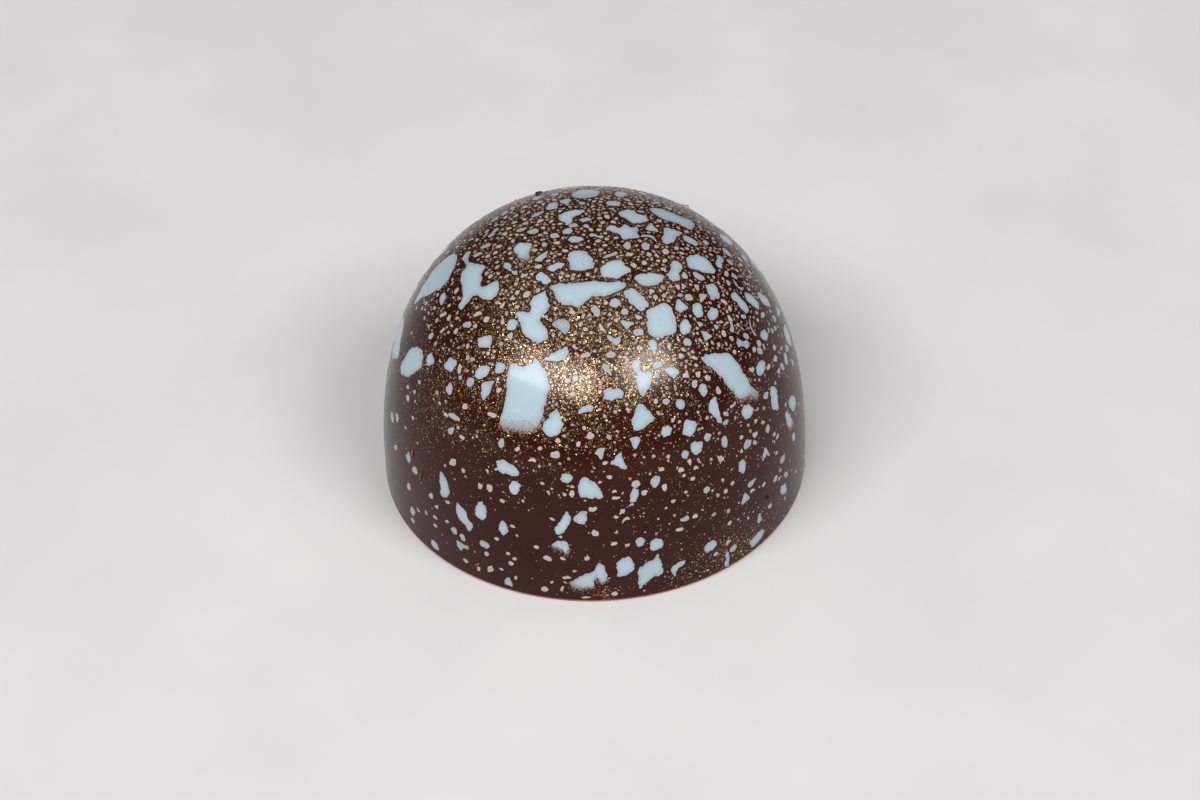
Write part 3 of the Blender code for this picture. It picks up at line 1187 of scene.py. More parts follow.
# azimuth, distance from the crown, length, width and lean on the wall chart
WALL_ROWS: dict[SplashForm, tuple[Row, ...]] = {
    SplashForm.ROUND: (
        (79.8, 13.25, 0.7, 0.4, -20), (73.7, 16.8, 0.8, 0.5, -60), (82.3, 16.8, 0.85, 0.6, -45),
        (82.5, 18.1, 0.8, 0.5, -70), (85.2, 14.6, 0.7, 0.55, -70), (78.2, 16.9, 1.05, 0.7, 55),
        (-57.8, 9.2, 0.75, 0.35, 50), (-50, 7.7, 0.6, 0.3, -70), (-64.3, 13.8, 1.05, 0.85, 0),
        (-49, 16, 0.5, 0.35, 0), (-45.6, 16.8, 0.75, 0.5, 50), (-41.2, 16.8, 0.5, 0.4, 0),
        (-43.3, 16.3, 0.3, 0.3, 0), (-30, 19.45, 0.65, 0.5, 80), (-33.1, 19.6, 0.5, 0.4, -80),
        (-26.2, 20.15, 0.4, 0.35, 0), (-22.6, 18.9, 1.05, 0.8, 85), (-57.6, 21.7, 0.75, 0.65, 0),
        (-60.4, 23.6, 0.75, 0.5, 80), (-71.2, 19.7, 0.75, 0.65, -20), (-75, 20.4, 0.9, 0.7, 0),
        (-69.8, 22, 0.65, 0.45, 40), (-67.5, 17.4, 0.55, 0.5, 0), (-69.4, 16.85, 0.5, 0.4, 40),
        (-65, 16.5, 0.4, 0.35, 0), (-64.6, 15.65, 0.4, 0.35, 0), (-52.8, 15.6, 0.4, 0.3, 0),
        (-62.3, 18.15, 0.4, 0.35, 0), (-41.1, 24.25, 0.65, 0.6, 0), (-38.3, 24.45, 0.65, 0.5, 90),
        (-31.1, 24.2, 0.75, 0.7, -20), (-30.6, 24.95, 0.4, 0.35, 90), (-37.4, 26.4, 0.45, 0.4, 0),
        (-48.8, 26.75, 0.95, 0.8, 0), (-58.8, 25.5, 0.95, 0.6, 50), (-59, 26.35, 0.55, 0.45, 0),
        (-27.4, 23.35, 0.4, 0.35, 0), (-43.6, 23.8, 0.4, 0.35, 0), (-48.3, 24.15, 0.45, 0.3, 0),
        (-48.2, 24.9, 0.45, 0.35, 0), (-8.2, 17.65, 0.85, 0.8, 0), (-11.6, 16.05, 0.7, 0.55, 0),
        (-8.7, 18.8, 0.3, 0.3, 0), (-6.5, 18.2, 0.3, 0.25, 0), (-1.2, 19.85, 0.6, 0.45, 20),
        (2.7, 16.55, 0.4, 0.35, 0), (3.7, 17.55, 0.35, 0.3, 0), (5.2, 19.1, 0.6, 0.35, -5),
        (5.1, 20.55, 0.4, 0.3, 0), (4.9, 18.6, 0.4, 0.35, 0), (10.9, 18.25, 0.65, 0.55, 0),
        (18.5, 17.6, 0.4, 0.35, 0), (9.3, 19.75, 0.3, 0.25, 0), (-0.6, 21.7, 0.65, 0.5, -35),
        (-13.4, 24, 0.65, 0.45, -15), (-16.1, 23.2, 0.4, 0.35, 0), (-9.2, 23.9, 0.4, 0.35, 0),
        (-3, 23.8, 0.4, 0.4, 0), (-9.7, 22.1, 0.3, 0.25, 0), (-12, 20.75, 0.35, 0.25, -20),
        (-22.8, 21.9, 0.35, 0.3, 0), (-24.2, 24.3, 0.4, 0.35, 0), (-23.4, 25.1, 0.45, 0.4, 0),
        (-22.4, 24.6, 0.35, 0.3, 0), (-22.2, 26.3, 0.3, 0.35, 0), (-14.4, 26.8, 0.6, 0.5, 0),
        (11.1, 22.75, 0.85, 0.65, 90), (15.3, 23.25, 1.1, 1, 5), (22, 22.5, 0.6, 0.4, -10),
        (23.8, 21.8, 0.75, 0.5, 0), (24.1, 18.05, 0.5, 0.4, 0), (28.6, 18.25, 0.4, 0.35, 0),
        (24.7, 18.5, 0.35, 0.3, 0), (27.2, 18.95, 0.4, 0.35, 0), (24.8, 19.75, 0.35, 0.3, 0),
        (36.9, 21, 0.45, 0.4, 0), (39.3, 17.45, 0.95, 0.6, 88), (47.1, 18.65, 0.8, 0.7, 0),
        (50.7, 18.45, 0.55, 0.5, 0), (56.4, 18.9, 0.75, 0.5, 85), (44.2, 18.85, 0.35, 0.3, 0),
        (45.4, 17.9, 0.4, 0.3, 0), (55, 18.15, 0.4, 0.35, 0), (56.5, 23.1, 0.6, 0.45, 0),
        (60.9, 22.25, 0.75, 0.65, 0), (59.2, 22.85, 0.4, 0.35, 0), (62.2, 23.85, 0.75, 0.5, -50),
        (60.6, 24.8, 1.2, 0.75, -60), (53, 24.85, 0.55, 0.45, 0), (48.3, 25.1, 0.95, 0.5, -85),
        (38.4, 26.1, 0.65, 0.6, 0), (32.5, 25.8, 0.45, 0.4, 0), (26.7, 21.85, 0.45, 0.4, 0),
        (37.4, 23.75, 0.4, 0.35, 0), (39.4, 20.7, 0.4, 0.3, 60), (66.6, 14.2, 0.75, 0.5, -60),
        (66.6, 15.5, 0.55, 0.45, 0), (69.3, 21.95, 0.8, 0.6, -60), (57.2, 17.35, 0.4, 0.3, 80),
        (52.4, 17.6, 0.4, 0.35, 0), (58.7, 19.75, 0.4, 0.35, 0), (60, 20.15, 0.45, 0.35, 0),
        (58.2, 21.2, 0.4, 0.3, 0), (68, 13.8, 0.55, 0.5, 0), (64.3, 13.7, 0.5, 0.45, 0),
        (69.4, 14.3, 0.5, 0.3, 70),
    ),
    SplashForm.LEAF: (
        (-43, 18.85, 0.8, 0.5, 50), (-25.6, 22.3, 1.3, 0.7, 88), (-61.3, 21.3, 0.9, 0.6, -75),
        (-3.4, 27.25, 0.75, 0.2, 0), (-50, 22.6, 0.55, 0.4, 70),
    ),
    SplashForm.DROP: (
        (-43, 14.7, 0.65, 0.45, 70), (-47.6, 23.1, 0.55, 0.35, 60), (-18.5, 16.7, 0.6, 0.3, -165),
        (-6.6, 18.75, 0.65, 0.42, -85), (18.9, 19, 0.6, 0.4, -85), (27.1, 17.7, 0.55, 0.35, -85),
        (36.7, 18.4, 0.7, 0.45, 120), (43.7, 20.05, 1.2, 0.85, -88), (-8.4, 25.55, 0.65, 0.4, 10),
    ),
    SplashForm.SHARD: (
        (-58.4, 10.2, 0.85, 0.5, 30), (73, 13.9, 1.1, 0.75, -50), (-29.6, 26.2, 0.75, 0.5, 50),
        (6.8, 20.15, 0.55, 0.3, 60), (13.1, 19, 0.5, 0.45, 0), (16.3, 18.35, 1, 0.7, 65),
        (4, 27, 0.5, 0.45, 0), (4.3, 22.65, 0.5, 0.35, 0), (7.7, 22.85, 0.35, 0.3, 0),
        (31, 20.2, 0.6, 0.5, 10), (30.8, 24.85, 1.05, 0.95, 0), (63, 15, 1.3, 1, -10),
        (60, 16.75, 0.75, 0.55, -20), (46.3, 22.3, 0.6, 0.35, -20), (51, 22.6, 0.45, 0.35, 0),
        (24.5, 14.55, 0.4, 0.3, 0),
    ),
    SplashForm.BLOCK: (
        (-45.8, 15.8, 1.05, 0.4, 8), (10.2, 19.1, 1.15, 0.5, 75), (-33.3, 26.6, 0.5, 0.3, 80),
        (47.2, 26.7, 1.5, 1, 20), (-43.4, 22.15, 0.45, 0.3, 30),
    ),
    SplashForm.TRIANGLE: (
        (11.8, 15.4, 0.85, 0.8, 175), (43.4, 22.5, 0.95, 0.75, 5),
    ),
    SplashForm.CRESCENT: (
        (7.4, 20.85, 0.65, 0.4, 30), (69.8, 12.75, 1.3, 0.6, 70),
    ),
    SplashForm.FORK: (
        (53.3, 20.4, 0.95, 1, 175),
    ),
    SplashForm.BONE: (
        (46, 15.5, 0.7, 0.3, 20),
    ),
    SplashForm.STREAK: (
        (-31, 18.4, 0.55, 0.2, -50), (46.7, 21.65, 1.1, 0.5, 5), (36.3, 26.55, 1.8, 0.55, 88),
    ),
}


# ------------------------------------------------------------------ outline maths


def round_corners(points: Points, rounds: int, cut: float) -> Points:
    """Cut the corners of a closed outline, again and again."""
    for _ in range(rounds):
        after = np.roll(points, -1, axis=0)
        near, far = (1 - cut) * points + cut * after, cut * points + (1 - cut) * after
        points = np.stack([near, far], axis=1).reshape(-1, 2)
    return points


def resample(points: Points, step: float) -> Points:
    """Evenly spaced points along a closed outline, about a step apart."""
    loop = np.vstack([points, points[:1]])
    run = np.concatenate([[0.0], np.cumsum(np.linalg.norm(np.diff(loop, axis=0), axis=1))])
    count = max(10, round(run[-1] / step))
    at = np.linspace(0.0, run[-1], count, endpoint=False)
    return np.stack([np.interp(at, run, loop[:, i]) for i in (0, 1)], axis=1)


def outward(points: Points) -> Points:
    """Outward directions at the points of an anticlockwise outline."""
    along = unit(np.roll(points, -1, axis=0) - np.roll(points, 1, axis=0))
    return np.stack([along[:, 1], -along[:, 0]], axis=1)


def signed_area(points: Points) -> float:
    """Area of a closed outline, positive when it runs anticlockwise."""
    after = np.roll(points, -1, axis=0)
    return float(np.sum(points[:, 0] * after[:, 1] - after[:, 0] * points[:, 1]) / 2)


def ragged(points: Points, depth: float, pitch: float, rng: np.random.Generator) -> Points:
    """Push an outline in and out at random.

    Args:
        points: Evenly spaced points of a closed outline.
        depth: Spread of the push.
        pitch: Distance between independent pushes.
        rng: Source of chance.

    Returns:
        The ragged outline.
    """
    count = len(points)
    length = float(np.linalg.norm(np.roll(points, -1, axis=0) - points, axis=1).sum())
    knots = max(5, round(length / pitch))
    push = rng.normal(0.0, depth, knots)
    at = np.arange(count) * knots / count
    first = np.floor(at).astype(int)
    share = smooth_step(at - first, 0.0, 1.0)
    offset = push[first % knots] * (1 - share) + push[(first + 1) % knots] * share
    return points + outward(points) * offset[:, None]


def tangled(outline: Points) -> Points:
    """Which edges of an outline cross another of its edges."""
    edge = np.roll(outline, -1, axis=0) - outline
    to_start = outline[None] - outline[:, None]
    to_end = to_start + edge[None]
    first = edge[:, None, 0] * to_start[..., 1] - edge[:, None, 1] * to_start[..., 0]
    second = edge[:, None, 0] * to_end[..., 1] - edge[:, None, 1] * to_end[..., 0]
    split = first * second < 0
    step = np.arange(len(outline))
    apart = np.abs(step[:, None] - step[None])
    split[(apart < 2) | (apart > len(outline) - 2)] = False
    return np.any(split & split.T, axis=1)


def untangle(outline: Points, tries: int = 60) -> Points:
    """Ease an outline where it crosses itself, until it no longer does.

    Args:
        outline: Closed outline.
        tries: Most times that it is eased.

    Returns:
        The outline, with as many points.
    """
    for _ in range(tries):
        crossed = tangled(outline)
        if not crossed.any():
            break
        near = crossed.copy()
        for shift in (-2, -1, 1, 2):
            near |= np.roll(crossed, shift)
        middle = 0.5 * (np.roll(outline, 1, axis=0) + np.roll(outline, -1, axis=0))
        outline = np.where(near[:, None], 0.5 * (outline + middle), outline)
    return outline


def inside(places: Points, outline: Points) -> Points:
    """True for the places that lie inside a closed outline."""
    found = np.zeros(len(places), bool)
    for start, end in zip(outline, np.roll(outline, -1, axis=0)):
        if start[1] == end[1]:
            continue
        crosses = (places[:, 1] < start[1]) != (places[:, 1] < end[1])
        slope = (end[0] - start[0]) / (end[1] - start[1])
        found ^= crosses & (places[:, 0] < start[0] + slope * (places[:, 1] - start[1]))
    return found


def distance_to(places: Points, outline: Points) -> Points:
    """Distance of each place from the points of an outline."""
    gaps = places[:, None, :] - outline[None, :, :]
    return np.sqrt(np.min(np.sum(gaps * gaps, axis=2), axis=1))


class CloudField:
    """Smooth random values over the crown chart, from 0 to 1."""

    def __init__(self, pitch: float, seed: Seed) -> None:
        """Fill a lattice with chance values.

        Args:
            pitch: Distance between independent values, in metres.
            seed: Start of the random numbers.
        """
        self.pitch = pitch
        self.size = 256
        self.lattice = seed.chance().random((self.size, self.size))

    def at(self, chart: Points) -> Points:
        """Values at crown chart places."""
        grid = chart / self.pitch + self.size / 2
        low = np.floor(grid).astype(int)
        share = smooth_step(grid - low, 0.0, 1.0)
        total = np.zeros(len(chart))
        for right in (0, 1):
            for up in (0, 1):
                column = (low[:, 0] + right) % self.size
                line = (low[:, 1] + up) % self.size
                weight = np.where(right, share[:, 0], 1 - share[:, 0])
                weight = weight * np.where(up, share[:, 1], 1 - share[:, 1])
                total += weight * self.lattice[column, line]
        return total


# ---------------------------------------------------------------- splash outlines


@dataclass
class Splash:
    """A splash ready to be cast: its outline on the crown chart, in metres."""

    outline: Points
    size: float
    thin: float = 0.0
    fade: Points | None = None


@dataclass
class SplashCutter:
    """Turns the design sheet into ragged outlines on the crown chart."""

    dome: DomeForm
    rng: np.random.Generator
    step: float = 0.055
    corner_cut: float = 0.2
    waves: tuple[tuple[float, float], ...] = ((0.045, 0.6), (0.034, 0.2), (0.016, 0.1))

    def to_crown(self, local: Points, azimuth: float, arc: float) -> Points:
        """Crown chart places of points laid out flat about a place on the wall.

        Args:
            local: Rows of right, up in millimetres.
            azimuth: Azimuth of the origin, in degrees.
            arc: Its distance from the crown, in millimetres.

        Returns:
            Places in metres.
        """
        away = (arc - local[:, 1]) * MM
        reach = float(self.dome.radius_at(arc * MM))
        turn = azimuth + np.degrees(local[:, 0] * MM / reach)
        return self.dome.wall_to_crown(turn, away)

    def finish(self, local: Points, rounds: int, size: float) -> Points:
        """Round, resample and roughen an outline given in millimetres."""
        if signed_area(local) < 0:
            local = local[::-1]
        step = min(self.step, size / 9)
        shaped = resample(round_corners(local, rounds, self.corner_cut), step)
        for depth, pitch in self.waves:
            deep = depth * min(1.0, 0.25 + size / 1.8)
            shaped = ragged(shaped, deep, min(pitch, size / 2.5), self.rng)
        return untangle(shaped)

    def drawn(self, chart: Chart, splash: DrawnSplash) -> Splash:
        """Cut a splash that has an outline of its own.

        Args:
            chart: Chart that the outline is given on.
            splash: The design.

        Returns:
            The splash.
        """
        points = np.array(splash.outline, float)
        middle = points.mean(axis=0)
        if chart is Chart.WALL:
            reach = float(self.dome.radius_at(middle[1] * MM)) / MM
            right = np.radians(points[:, 0] - middle[0]) * reach
            points = np.stack([right, middle[1] - points[:, 1]], axis=1)
        size = 2.0 * math.sqrt(abs(signed_area(points)) / math.pi)
        shaped = self.finish(points, splash.rounds, size)
        placed = self.to_crown(shaped, *middle) if chart is Chart.WALL else shaped * MM
        fade = None
        if splash.fade is not None:
            turn = math.radians(splash.fade + (middle[0] if chart is Chart.WALL else 0.0))
            fade = np.array([math.cos(turn), math.sin(turn)])
        return Splash(self.anticlockwise(placed), size, splash.thin, fade)

    def row(self, chart: Chart, form: SplashForm, row: Row) -> Splash:
        """Cut a splash of a named form.

        Args:
            chart: Chart that the row is given on.
            form: Form of the outline.
            row: Place, length, width and lean.

        Returns:
            The splash.
        """
        across, along, length, width, lean = row
        turn = math.radians(lean)
        unit = np.array(form.value) * (length, width)
        spin = np.array([[math.cos(turn), math.sin(turn)], [-math.sin(turn), math.cos(turn)]])
        size = math.sqrt(length * width)
        rounds = 2 if size > 0.55 and form is not SplashForm.ROUND else 3
        shaped = self.finish(unit @ spin, rounds, size)
        if chart is Chart.WALL:
            placed = self.to_crown(shaped, across, along)
        else:
            placed = (shaped + (across, along)) * MM
        return Splash(self.anticlockwise(placed), size)

    @staticmethod
    def anticlockwise(points: Points) -> Points:
        """The outline, turned to run anticlockwise on the crown chart."""
        return points if signed_area(points) > 0 else points[::-1].copy()


@dataclass
class DecorationMap:
    """Which parts of the crown chart are already covered."""

    cell: float = 0.04 * MM
    cells: int = 1420
    taken: Points = field(init=False)

    def __post_init__(self) -> None:
        """Start with nothing covered."""
        self.taken = np.zeros((self.cells, self.cells), bool)

    def index(self, places: Points) -> Points:
        """Cell numbers of crown chart places."""
        cells = np.floor(places / self.cell).astype(int) + self.cells // 2
        return np.clip(cells, 0, self.cells - 1)

    def stamp(self, outline: Points, margin: float = 0.05 * MM) -> None:
        """Cover an outline and a margin round it."""
        low, high = self.window(outline, margin)
        grid = np.mgrid[low[0] : high[0], low[1] : high[1]].reshape(2, -1).T
        places = (grid + 0.5 - self.cells // 2) * self.cell
        hit = inside(places, outline) | (distance_to(places, outline) < margin)
        self.taken[grid[hit, 0], grid[hit, 1]] = True

    def window(self, outline: Points, margin: float) -> tuple[Points, Points]:
        """First and last cells that an outline with a margin may touch."""
        low = self.index(outline.min(axis=0) - margin)
        return low, self.index(outline.max(axis=0) + margin) + 1

    def free(self, outline: Points, margin: float) -> bool:
        """True if an outline with a margin touches nothing yet."""
        low, high = self.window(outline, margin)
        grid = np.mgrid[low[0] : high[0], low[1] : high[1]].reshape(2, -1).T
        used = grid[self.taken[grid[:, 0], grid[:, 1]]]
        if not len(used):
            return True
        places = (used + 0.5 - self.cells // 2) * self.cell
        return not bool(np.any(inside(places, outline) | (distance_to(places, outline) < margin)))

    def covered(self, places: Points) -> Points:
        """True for crown chart places that are covered."""
        cells = self.index(places)
        return self.taken[cells[:, 0], cells[:, 1]]


# ------------------------------------------------------------------ praline shell


@dataclass
class PralineShell:
    """The glossy chocolate body: dome, rounded foot and flat base."""

    dome: DomeForm
    gold: "GoldCloud"
    segments: int = 256
    wall_rings: int = 84
    foot_rings: int = 15  # in place of the last three
    base_rings: int = 7
    edge_ring: float = 0.06 * MM  # how far in from the foot the first ring of the base is

    def build(self) -> bpy.types.Object:
        """Build the closed body.

        Returns:
            The shell.
        """
        mesh = bpy.data.meshes.new("praline_shell")
        arcs = np.linspace(0.0, self.dome.wall_length, self.wall_rings + 1)[1:]
        arcs = np.concatenate([arcs[:-3], np.linspace(arcs[-3], arcs[-1], self.foot_rings)])
        turn = circle(self.segments)
        spokes = np.stack([np.sin(turn), -np.cos(turn)], axis=1)
        chart = np.concatenate([np.zeros((1, 2)), (arcs[:, None, None] * spokes).reshape(-1, 2)])
        points, normals = self.dome.on_dome(chart)
        rim = float(self.dome.radii[-1])
        reach = rim * np.linspace(1.0, 0.0, self.base_rings + 1)[1:-1]
        reach = np.concatenate([[rim - self.edge_ring], reach])
        base = (reach[:, None, None] * spokes).reshape(-1, 2)
        base = np.vstack([base, [[0.0, 0.0]]])
        points = np.vstack([points, np.column_stack([base, np.zeros(len(base))])])
        faces, on_base = self.faces(len(arcs), len(reach))
        mesh.from_pydata(points.tolist(), [], faces)
        mesh.update()
        # two of these shares are painted light: lighter, warmer side walls and a bright warm line along the
        # foot
        walls = {
            "dust": self.gold.share(chart), "painted_side_light": self.painted_side_light(chart),
            "painted_foot_glow": self.painted_foot_glow(chart), "polish": self.polish(chart),
        }
        for name, wall in walls.items():
            layer = mesh.attributes.new(name, "FLOAT", "POINT")
            full = np.concatenate([wall, np.zeros(len(base))])
            layer.data.foreach_set("value", full.astype(np.float32))
        self.lay_out(mesh, chart, points, normals, on_base)
        return link("praline_shell", mesh)

    def painted_side_light(self, chart: Points) -> Points:
        """Share of painted side light, most on the walls at the sides: they are painted lighter and warmer
        in place of light that falls there.
        """
        azimuth, arc = self.dome.azimuth_arc(chart)
        side = smooth_step(np.abs(azimuth), 25.0, 75.0)
        return side * smooth_step(arc, 14.0 * MM, 21.0 * MM)

    def painted_foot_glow(self, chart: Points) -> Points:
        """Share of painted glow: a bright warm line painted only along the very foot, in place of light that
        shows at its edge.
        """
        arc = self.dome.azimuth_arc(chart)[1]
        length = self.dome.wall_length
        below = smooth_step(arc, length - 0.17 * MM, length - 0.05 * MM)
        return 0.6 * smooth_step(arc, length - 0.4 * MM, length - 0.3 * MM) * (1.0 - below)

    def polish(self, chart: Points) -> Points:
        """How clear and bright the top layer is: most on the front shoulder."""
        azimuth, arc = self.dome.azimuth_arc(chart)
        spread = 0.25 * bell(azimuth, -14.0, 22.0) + 0.95 * bell(azimuth, 27.0, 20.0)
        return spread * bell(arc, 11.0 * MM, 3.6 * MM)

    def faces(self, wall: int, base: int) -> tuple[list[tuple[int, ...]], Points]:
        """Faces of the wall and of the base.

        Args:
            wall: Number of rings on the wall.
            base: Number of rings on the base.

        Returns:
            The faces, and for each whether it lies on the base.
        """
        size = self.segments
        last = 1 + (wall + base) * size
        faces: list[tuple[int, ...]] = []
        for step in range(size):
            after = (step + 1) % size
            faces.append((0, 1 + step, 1 + after))
            for ring in range(wall + base - 1):
                upper, lower = 1 + ring * size, 1 + (ring + 1) * size
                faces.append((upper + step, lower + step, lower + after, upper + after))
            final = 1 + (wall + base - 1) * size
            faces.append((final + step, last, final + after))
        per_spoke = wall + base + 1
        ring_of = np.arange(len(faces)) % per_spoke
        return faces, ring_of >= wall

    def lay_out(
        self, mesh: bpy.types.Mesh, chart: Points, points: Points, normals: Points, on_base: Points
    ) -> None:
        """Map and shade the wall like the dome, and the base flat and in a corner of the map.

        Args:
            mesh: The shell.
            chart: Crown chart places of the wall's points.
            points: Places of all points.
            normals: The dome's own directions at the wall's points.
            on_base: Which faces lie on the base.
        """
        corners = np.empty(len(mesh.loops), int)
        mesh.loops.foreach_get("vertex_index", corners)
        below = np.repeat(on_base, [len(face.vertices) for face in mesh.polygons])[:, None]
        wide = np.vstack([chart, points[len(chart) :, :2]])
        wall_map = 0.5 + wide * (UvLayout.DOME_SPAN / self.dome.wall_length)
        base_map = UvLayout.BASE_CENTRE + points[:, :2] * (UvLayout.BASE_SPAN / self.dome.radius)
        place = np.where(below, base_map[corners], wall_map[corners])
        layer = mesh.uv_layers.new(name=UV_NAME)
        layer.data.foreach_set("uv", place.astype(np.float32).ravel())
        mesh.shade_smooth()
        down = np.array([0.0, 0.0, -1.0])
        full = np.vstack([normals, np.tile(down, (len(points) - len(normals), 1))])
        mesh.normals_split_custom_set(np.where(below, down, full[corners]).tolist())

    def dress(self, piece: bpy.types.Object, effects: EffectLibrary) -> None:
        """Give the shell its chocolate finish, and put it in the place of the CAD body."""
        settle(piece, ChocolateFinish().build(effects), "dark_chocolate")
        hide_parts(PRALINE_NODE)


# ------------------------------------------------------------ cocoa butter splashes


@dataclass
class SplashFilm:
    """Casts splash outlines as thin films with a soft bevelled rim."""

    dome: DomeForm
    rng: np.random.Generator
    name: str = "cocoa_butter_splashes"
    thickness: float = 0.016 * MM
    sunk: float = 0.02 * MM
    bevel: float = 0.035 * MM
    bevel_share: float = 0.12  # of the splash's size, at most
    doming: float = 0.5  # how much thicker it is well inside the rim
    domed_at: float = 0.4 * MM  # how far inside
    inner_pitch: float = 0.32 * MM
    rim_fade: float = 0.15 * MM
    rim_tilt: float = 0.7
    tone_sizes: Numbers = (0.2, 0.3, 0.45, 0.6, 0.9)
    tones: Numbers = (0.2, 0.32, 0.46, 0.68, 1.0)

    def cast(self, stock: MeshStock, splash: Splash) -> None:
        """Add one film to the stock.

        Args:
            stock: Where the film goes.
            splash: The splash.
        """
        rim = splash.outline
        bevel = min(self.bevel, self.bevel_share * splash.size * MM)
        inner_points, tops = self.fill(untangle(rim - outward(rim) * bevel))
        backs = self.fill(rim, spread=False)[1]
        if not len(tops) or not len(backs):
            LOG.warning("a splash of %.2f mm crosses itself and is left out", splash.size)
            return
        count, many = len(rim), len(inner_points)
        chart = np.vstack([inner_points, rim])
        thickness = self.thickness * (0.7 + 0.6 * self.rng.random())
        domed = smooth_step(distance_to(inner_points, rim), 0.0, self.domed_at)
        lifts = np.concatenate([thickness * (1.0 + self.doming * domed), np.full(count, -self.sunk)])
        points, normals = self.dome.on_dome(chart, lifts)
        normals[many:] = self.tilted(points[:many], points[many:], normals[many:])
        step = np.arange(count)
        after = (step + 1) % count
        lower, upper = (step, many + step, many + after), (step, many + after, after)
        side = np.concatenate([np.stack(lower, axis=1), np.stack(upper, axis=1)])
        under = backs[:, ::-1] + many
        faces = np.concatenate([tops, side, under])
        tone = np.interp(splash.size, self.tone_sizes, self.tones)
        depth = 1.0 - np.exp(-distance_to(chart, rim) / self.rim_fade)
        tone = (tone + self.rng.normal(0.0, 0.04)) * (0.55 + 0.45 * depth)
        edge = np.concatenate([np.zeros(many), np.ones(count)])
        buried = np.arange(len(faces)) >= len(faces) - len(under)
        stock.add(
            points, faces, normals, chart, buried,
            tone=tone, edge=edge, thin=self.thinness(chart, splash),
            tint=self.rng.uniform(-1.0, 1.0),
        )

    def fill(self, outline: Points, spread: bool = True) -> tuple[Points, Points]:
        """Triangulate the inside of an outline.

        Args:
            outline: Closed outline on the crown chart.
            spread: True to add a lattice of points inside.

        Returns:
            The points, the outline's first, and the triangles; none if it crosses itself.
        """
        count = len(outline)
        points = outline
        if spread:
            points = np.vstack([outline, self.lattice(outline, self.inner_pitch)])
        flat = [Vector(point) for point in (points / MM).tolist()]
        made, _, tris, *_ = delaunay_2d_cdt(flat, [], [list(range(count))], 1, 1e-7)
        if len(made) != len(flat):
            return points, np.zeros((0, 3), int)
        return points, np.array([list(t) for t in tris], int)

    def lattice(self, outline: Points, pitch: float) -> Points:
        """Points of a slightly shaken lattice that lie well inside an outline."""
        low, high = outline.min(axis=0), outline.max(axis=0)
        pitch = min(pitch, 0.3 * float((high - low).min()))
        steps = [np.arange(low[i], high[i] + pitch, pitch) for i in (0, 1)]
        grid = np.stack(np.meshgrid(*steps), axis=-1).reshape(-1, 2)
        grid = grid + self.rng.uniform(-0.12, 0.12, grid.shape) * pitch
        clear = distance_to(grid, outline) > 0.45 * pitch
        return grid[inside(grid, outline) & clear]

    def tilted(self, inner: Points, rim: Points, normals: Points) -> Points:
        """Rim directions, tilted away from the middle of the film."""
        away = rim - inner[: len(rim)]
        away -= normals * np.sum(away * normals, axis=1, keepdims=True)
        return unit(normals + self.rim_tilt * unit(away))

    def thinness(self, chart: Points, splash: Splash) -> Points:
        """How powdery the film is at each point."""
        thin = np.full(len(chart), splash.thin)
        if splash.fade is not None:
            along = chart @ splash.fade
            low, high = along.min(), along.max()
            thin += 0.8 * smooth_step(along, low + 0.74 * (high - low), high)
        return np.minimum(thin, 0.8)

    def dress(self, piece: bpy.types.Object, effects: EffectLibrary) -> None:
        """Give the splashes their finish."""
        finish = CocoaButterFinish("blue_cocoa_butter_splash", pinholes=0.6)
        settle(piece, finish.build(effects), "blue_cocoa_butter")


@dataclass
class SplashScatter:
    """Splashes on the sides that the design sheet leaves open."""

    cutter: SplashCutter
    covered: DecorationMap
    rng: np.random.Generator
    clearance: float = 0.12 * MM
    sizes: tuple[tuple[int, float, float], ...] = (
        (12, 2.1, 3.6),
        (22, 1.3, 2.0),
        (34, 0.9, 1.3),
        (60, 0.6, 0.9),
    )
    tries: int = 40  # for each splash
    round_share: float = 0.6  # of the smallest
    reach: float = 27.0  # farthest place, in millimetres from the crown
    sheet_turn: float = 88.0  # how far round the wall the design sheet goes, in degrees
    crown_arc: float = 13.5  # where the wall starts, in millimetres

    def open_side(self, azimuth: float, arc: float) -> bool:
        """True where the design sheet leaves the dome bare."""
        turn = math.radians(azimuth)
        across, along = arc * math.sin(turn), -arc * math.cos(turn)
        if arc < self.crown_arc:
            return along > 6.0 or (abs(across) > 9.5 and along > 1.5)
        return abs(azimuth) > self.sheet_turn

    def scatter(self) -> list[Splash]:
        """Place the splashes, large ones first.

        Returns:
            The splashes that found room.
        """
        forms = [form for form in SplashForm if form is not SplashForm.STREAK]
        found: list[Splash] = []
        for wanted, small, large in self.sizes:
            placed = tries = 0
            while placed < wanted and tries < wanted * self.tries:
                tries += 1
                azimuth = float(self.rng.uniform(-180.0, 180.0))
                arc = float(self.reach * math.sqrt(self.rng.uniform(0.04, 1.0)))
                if self.rng.random() < 0.35 * (arc > 18.0):
                    continue
                size = float(self.rng.uniform(small, large))
                if not self.open_side(azimuth, arc) or arc + size / 2 > self.reach + 0.1:
                    continue
                stretch = float(self.rng.uniform(1.0, 1.7))
                form = forms[int(self.rng.integers(len(forms)))]
                if size < 0.9 and self.rng.random() < self.round_share:
                    form = SplashForm.ROUND
                lean = float(self.rng.uniform(-180.0, 180.0))
                row = (azimuth, arc, size * math.sqrt(stretch), size / math.sqrt(stretch), lean)
                splash = self.cutter.row(Chart.WALL, form, row)
                if not self.covered.free(splash.outline, self.clearance):
                    continue
                self.covered.stamp(splash.outline)
                found.append(splash)
                placed += 1
        return found


# ----------------------------------------------------------- cocoa butter droplets


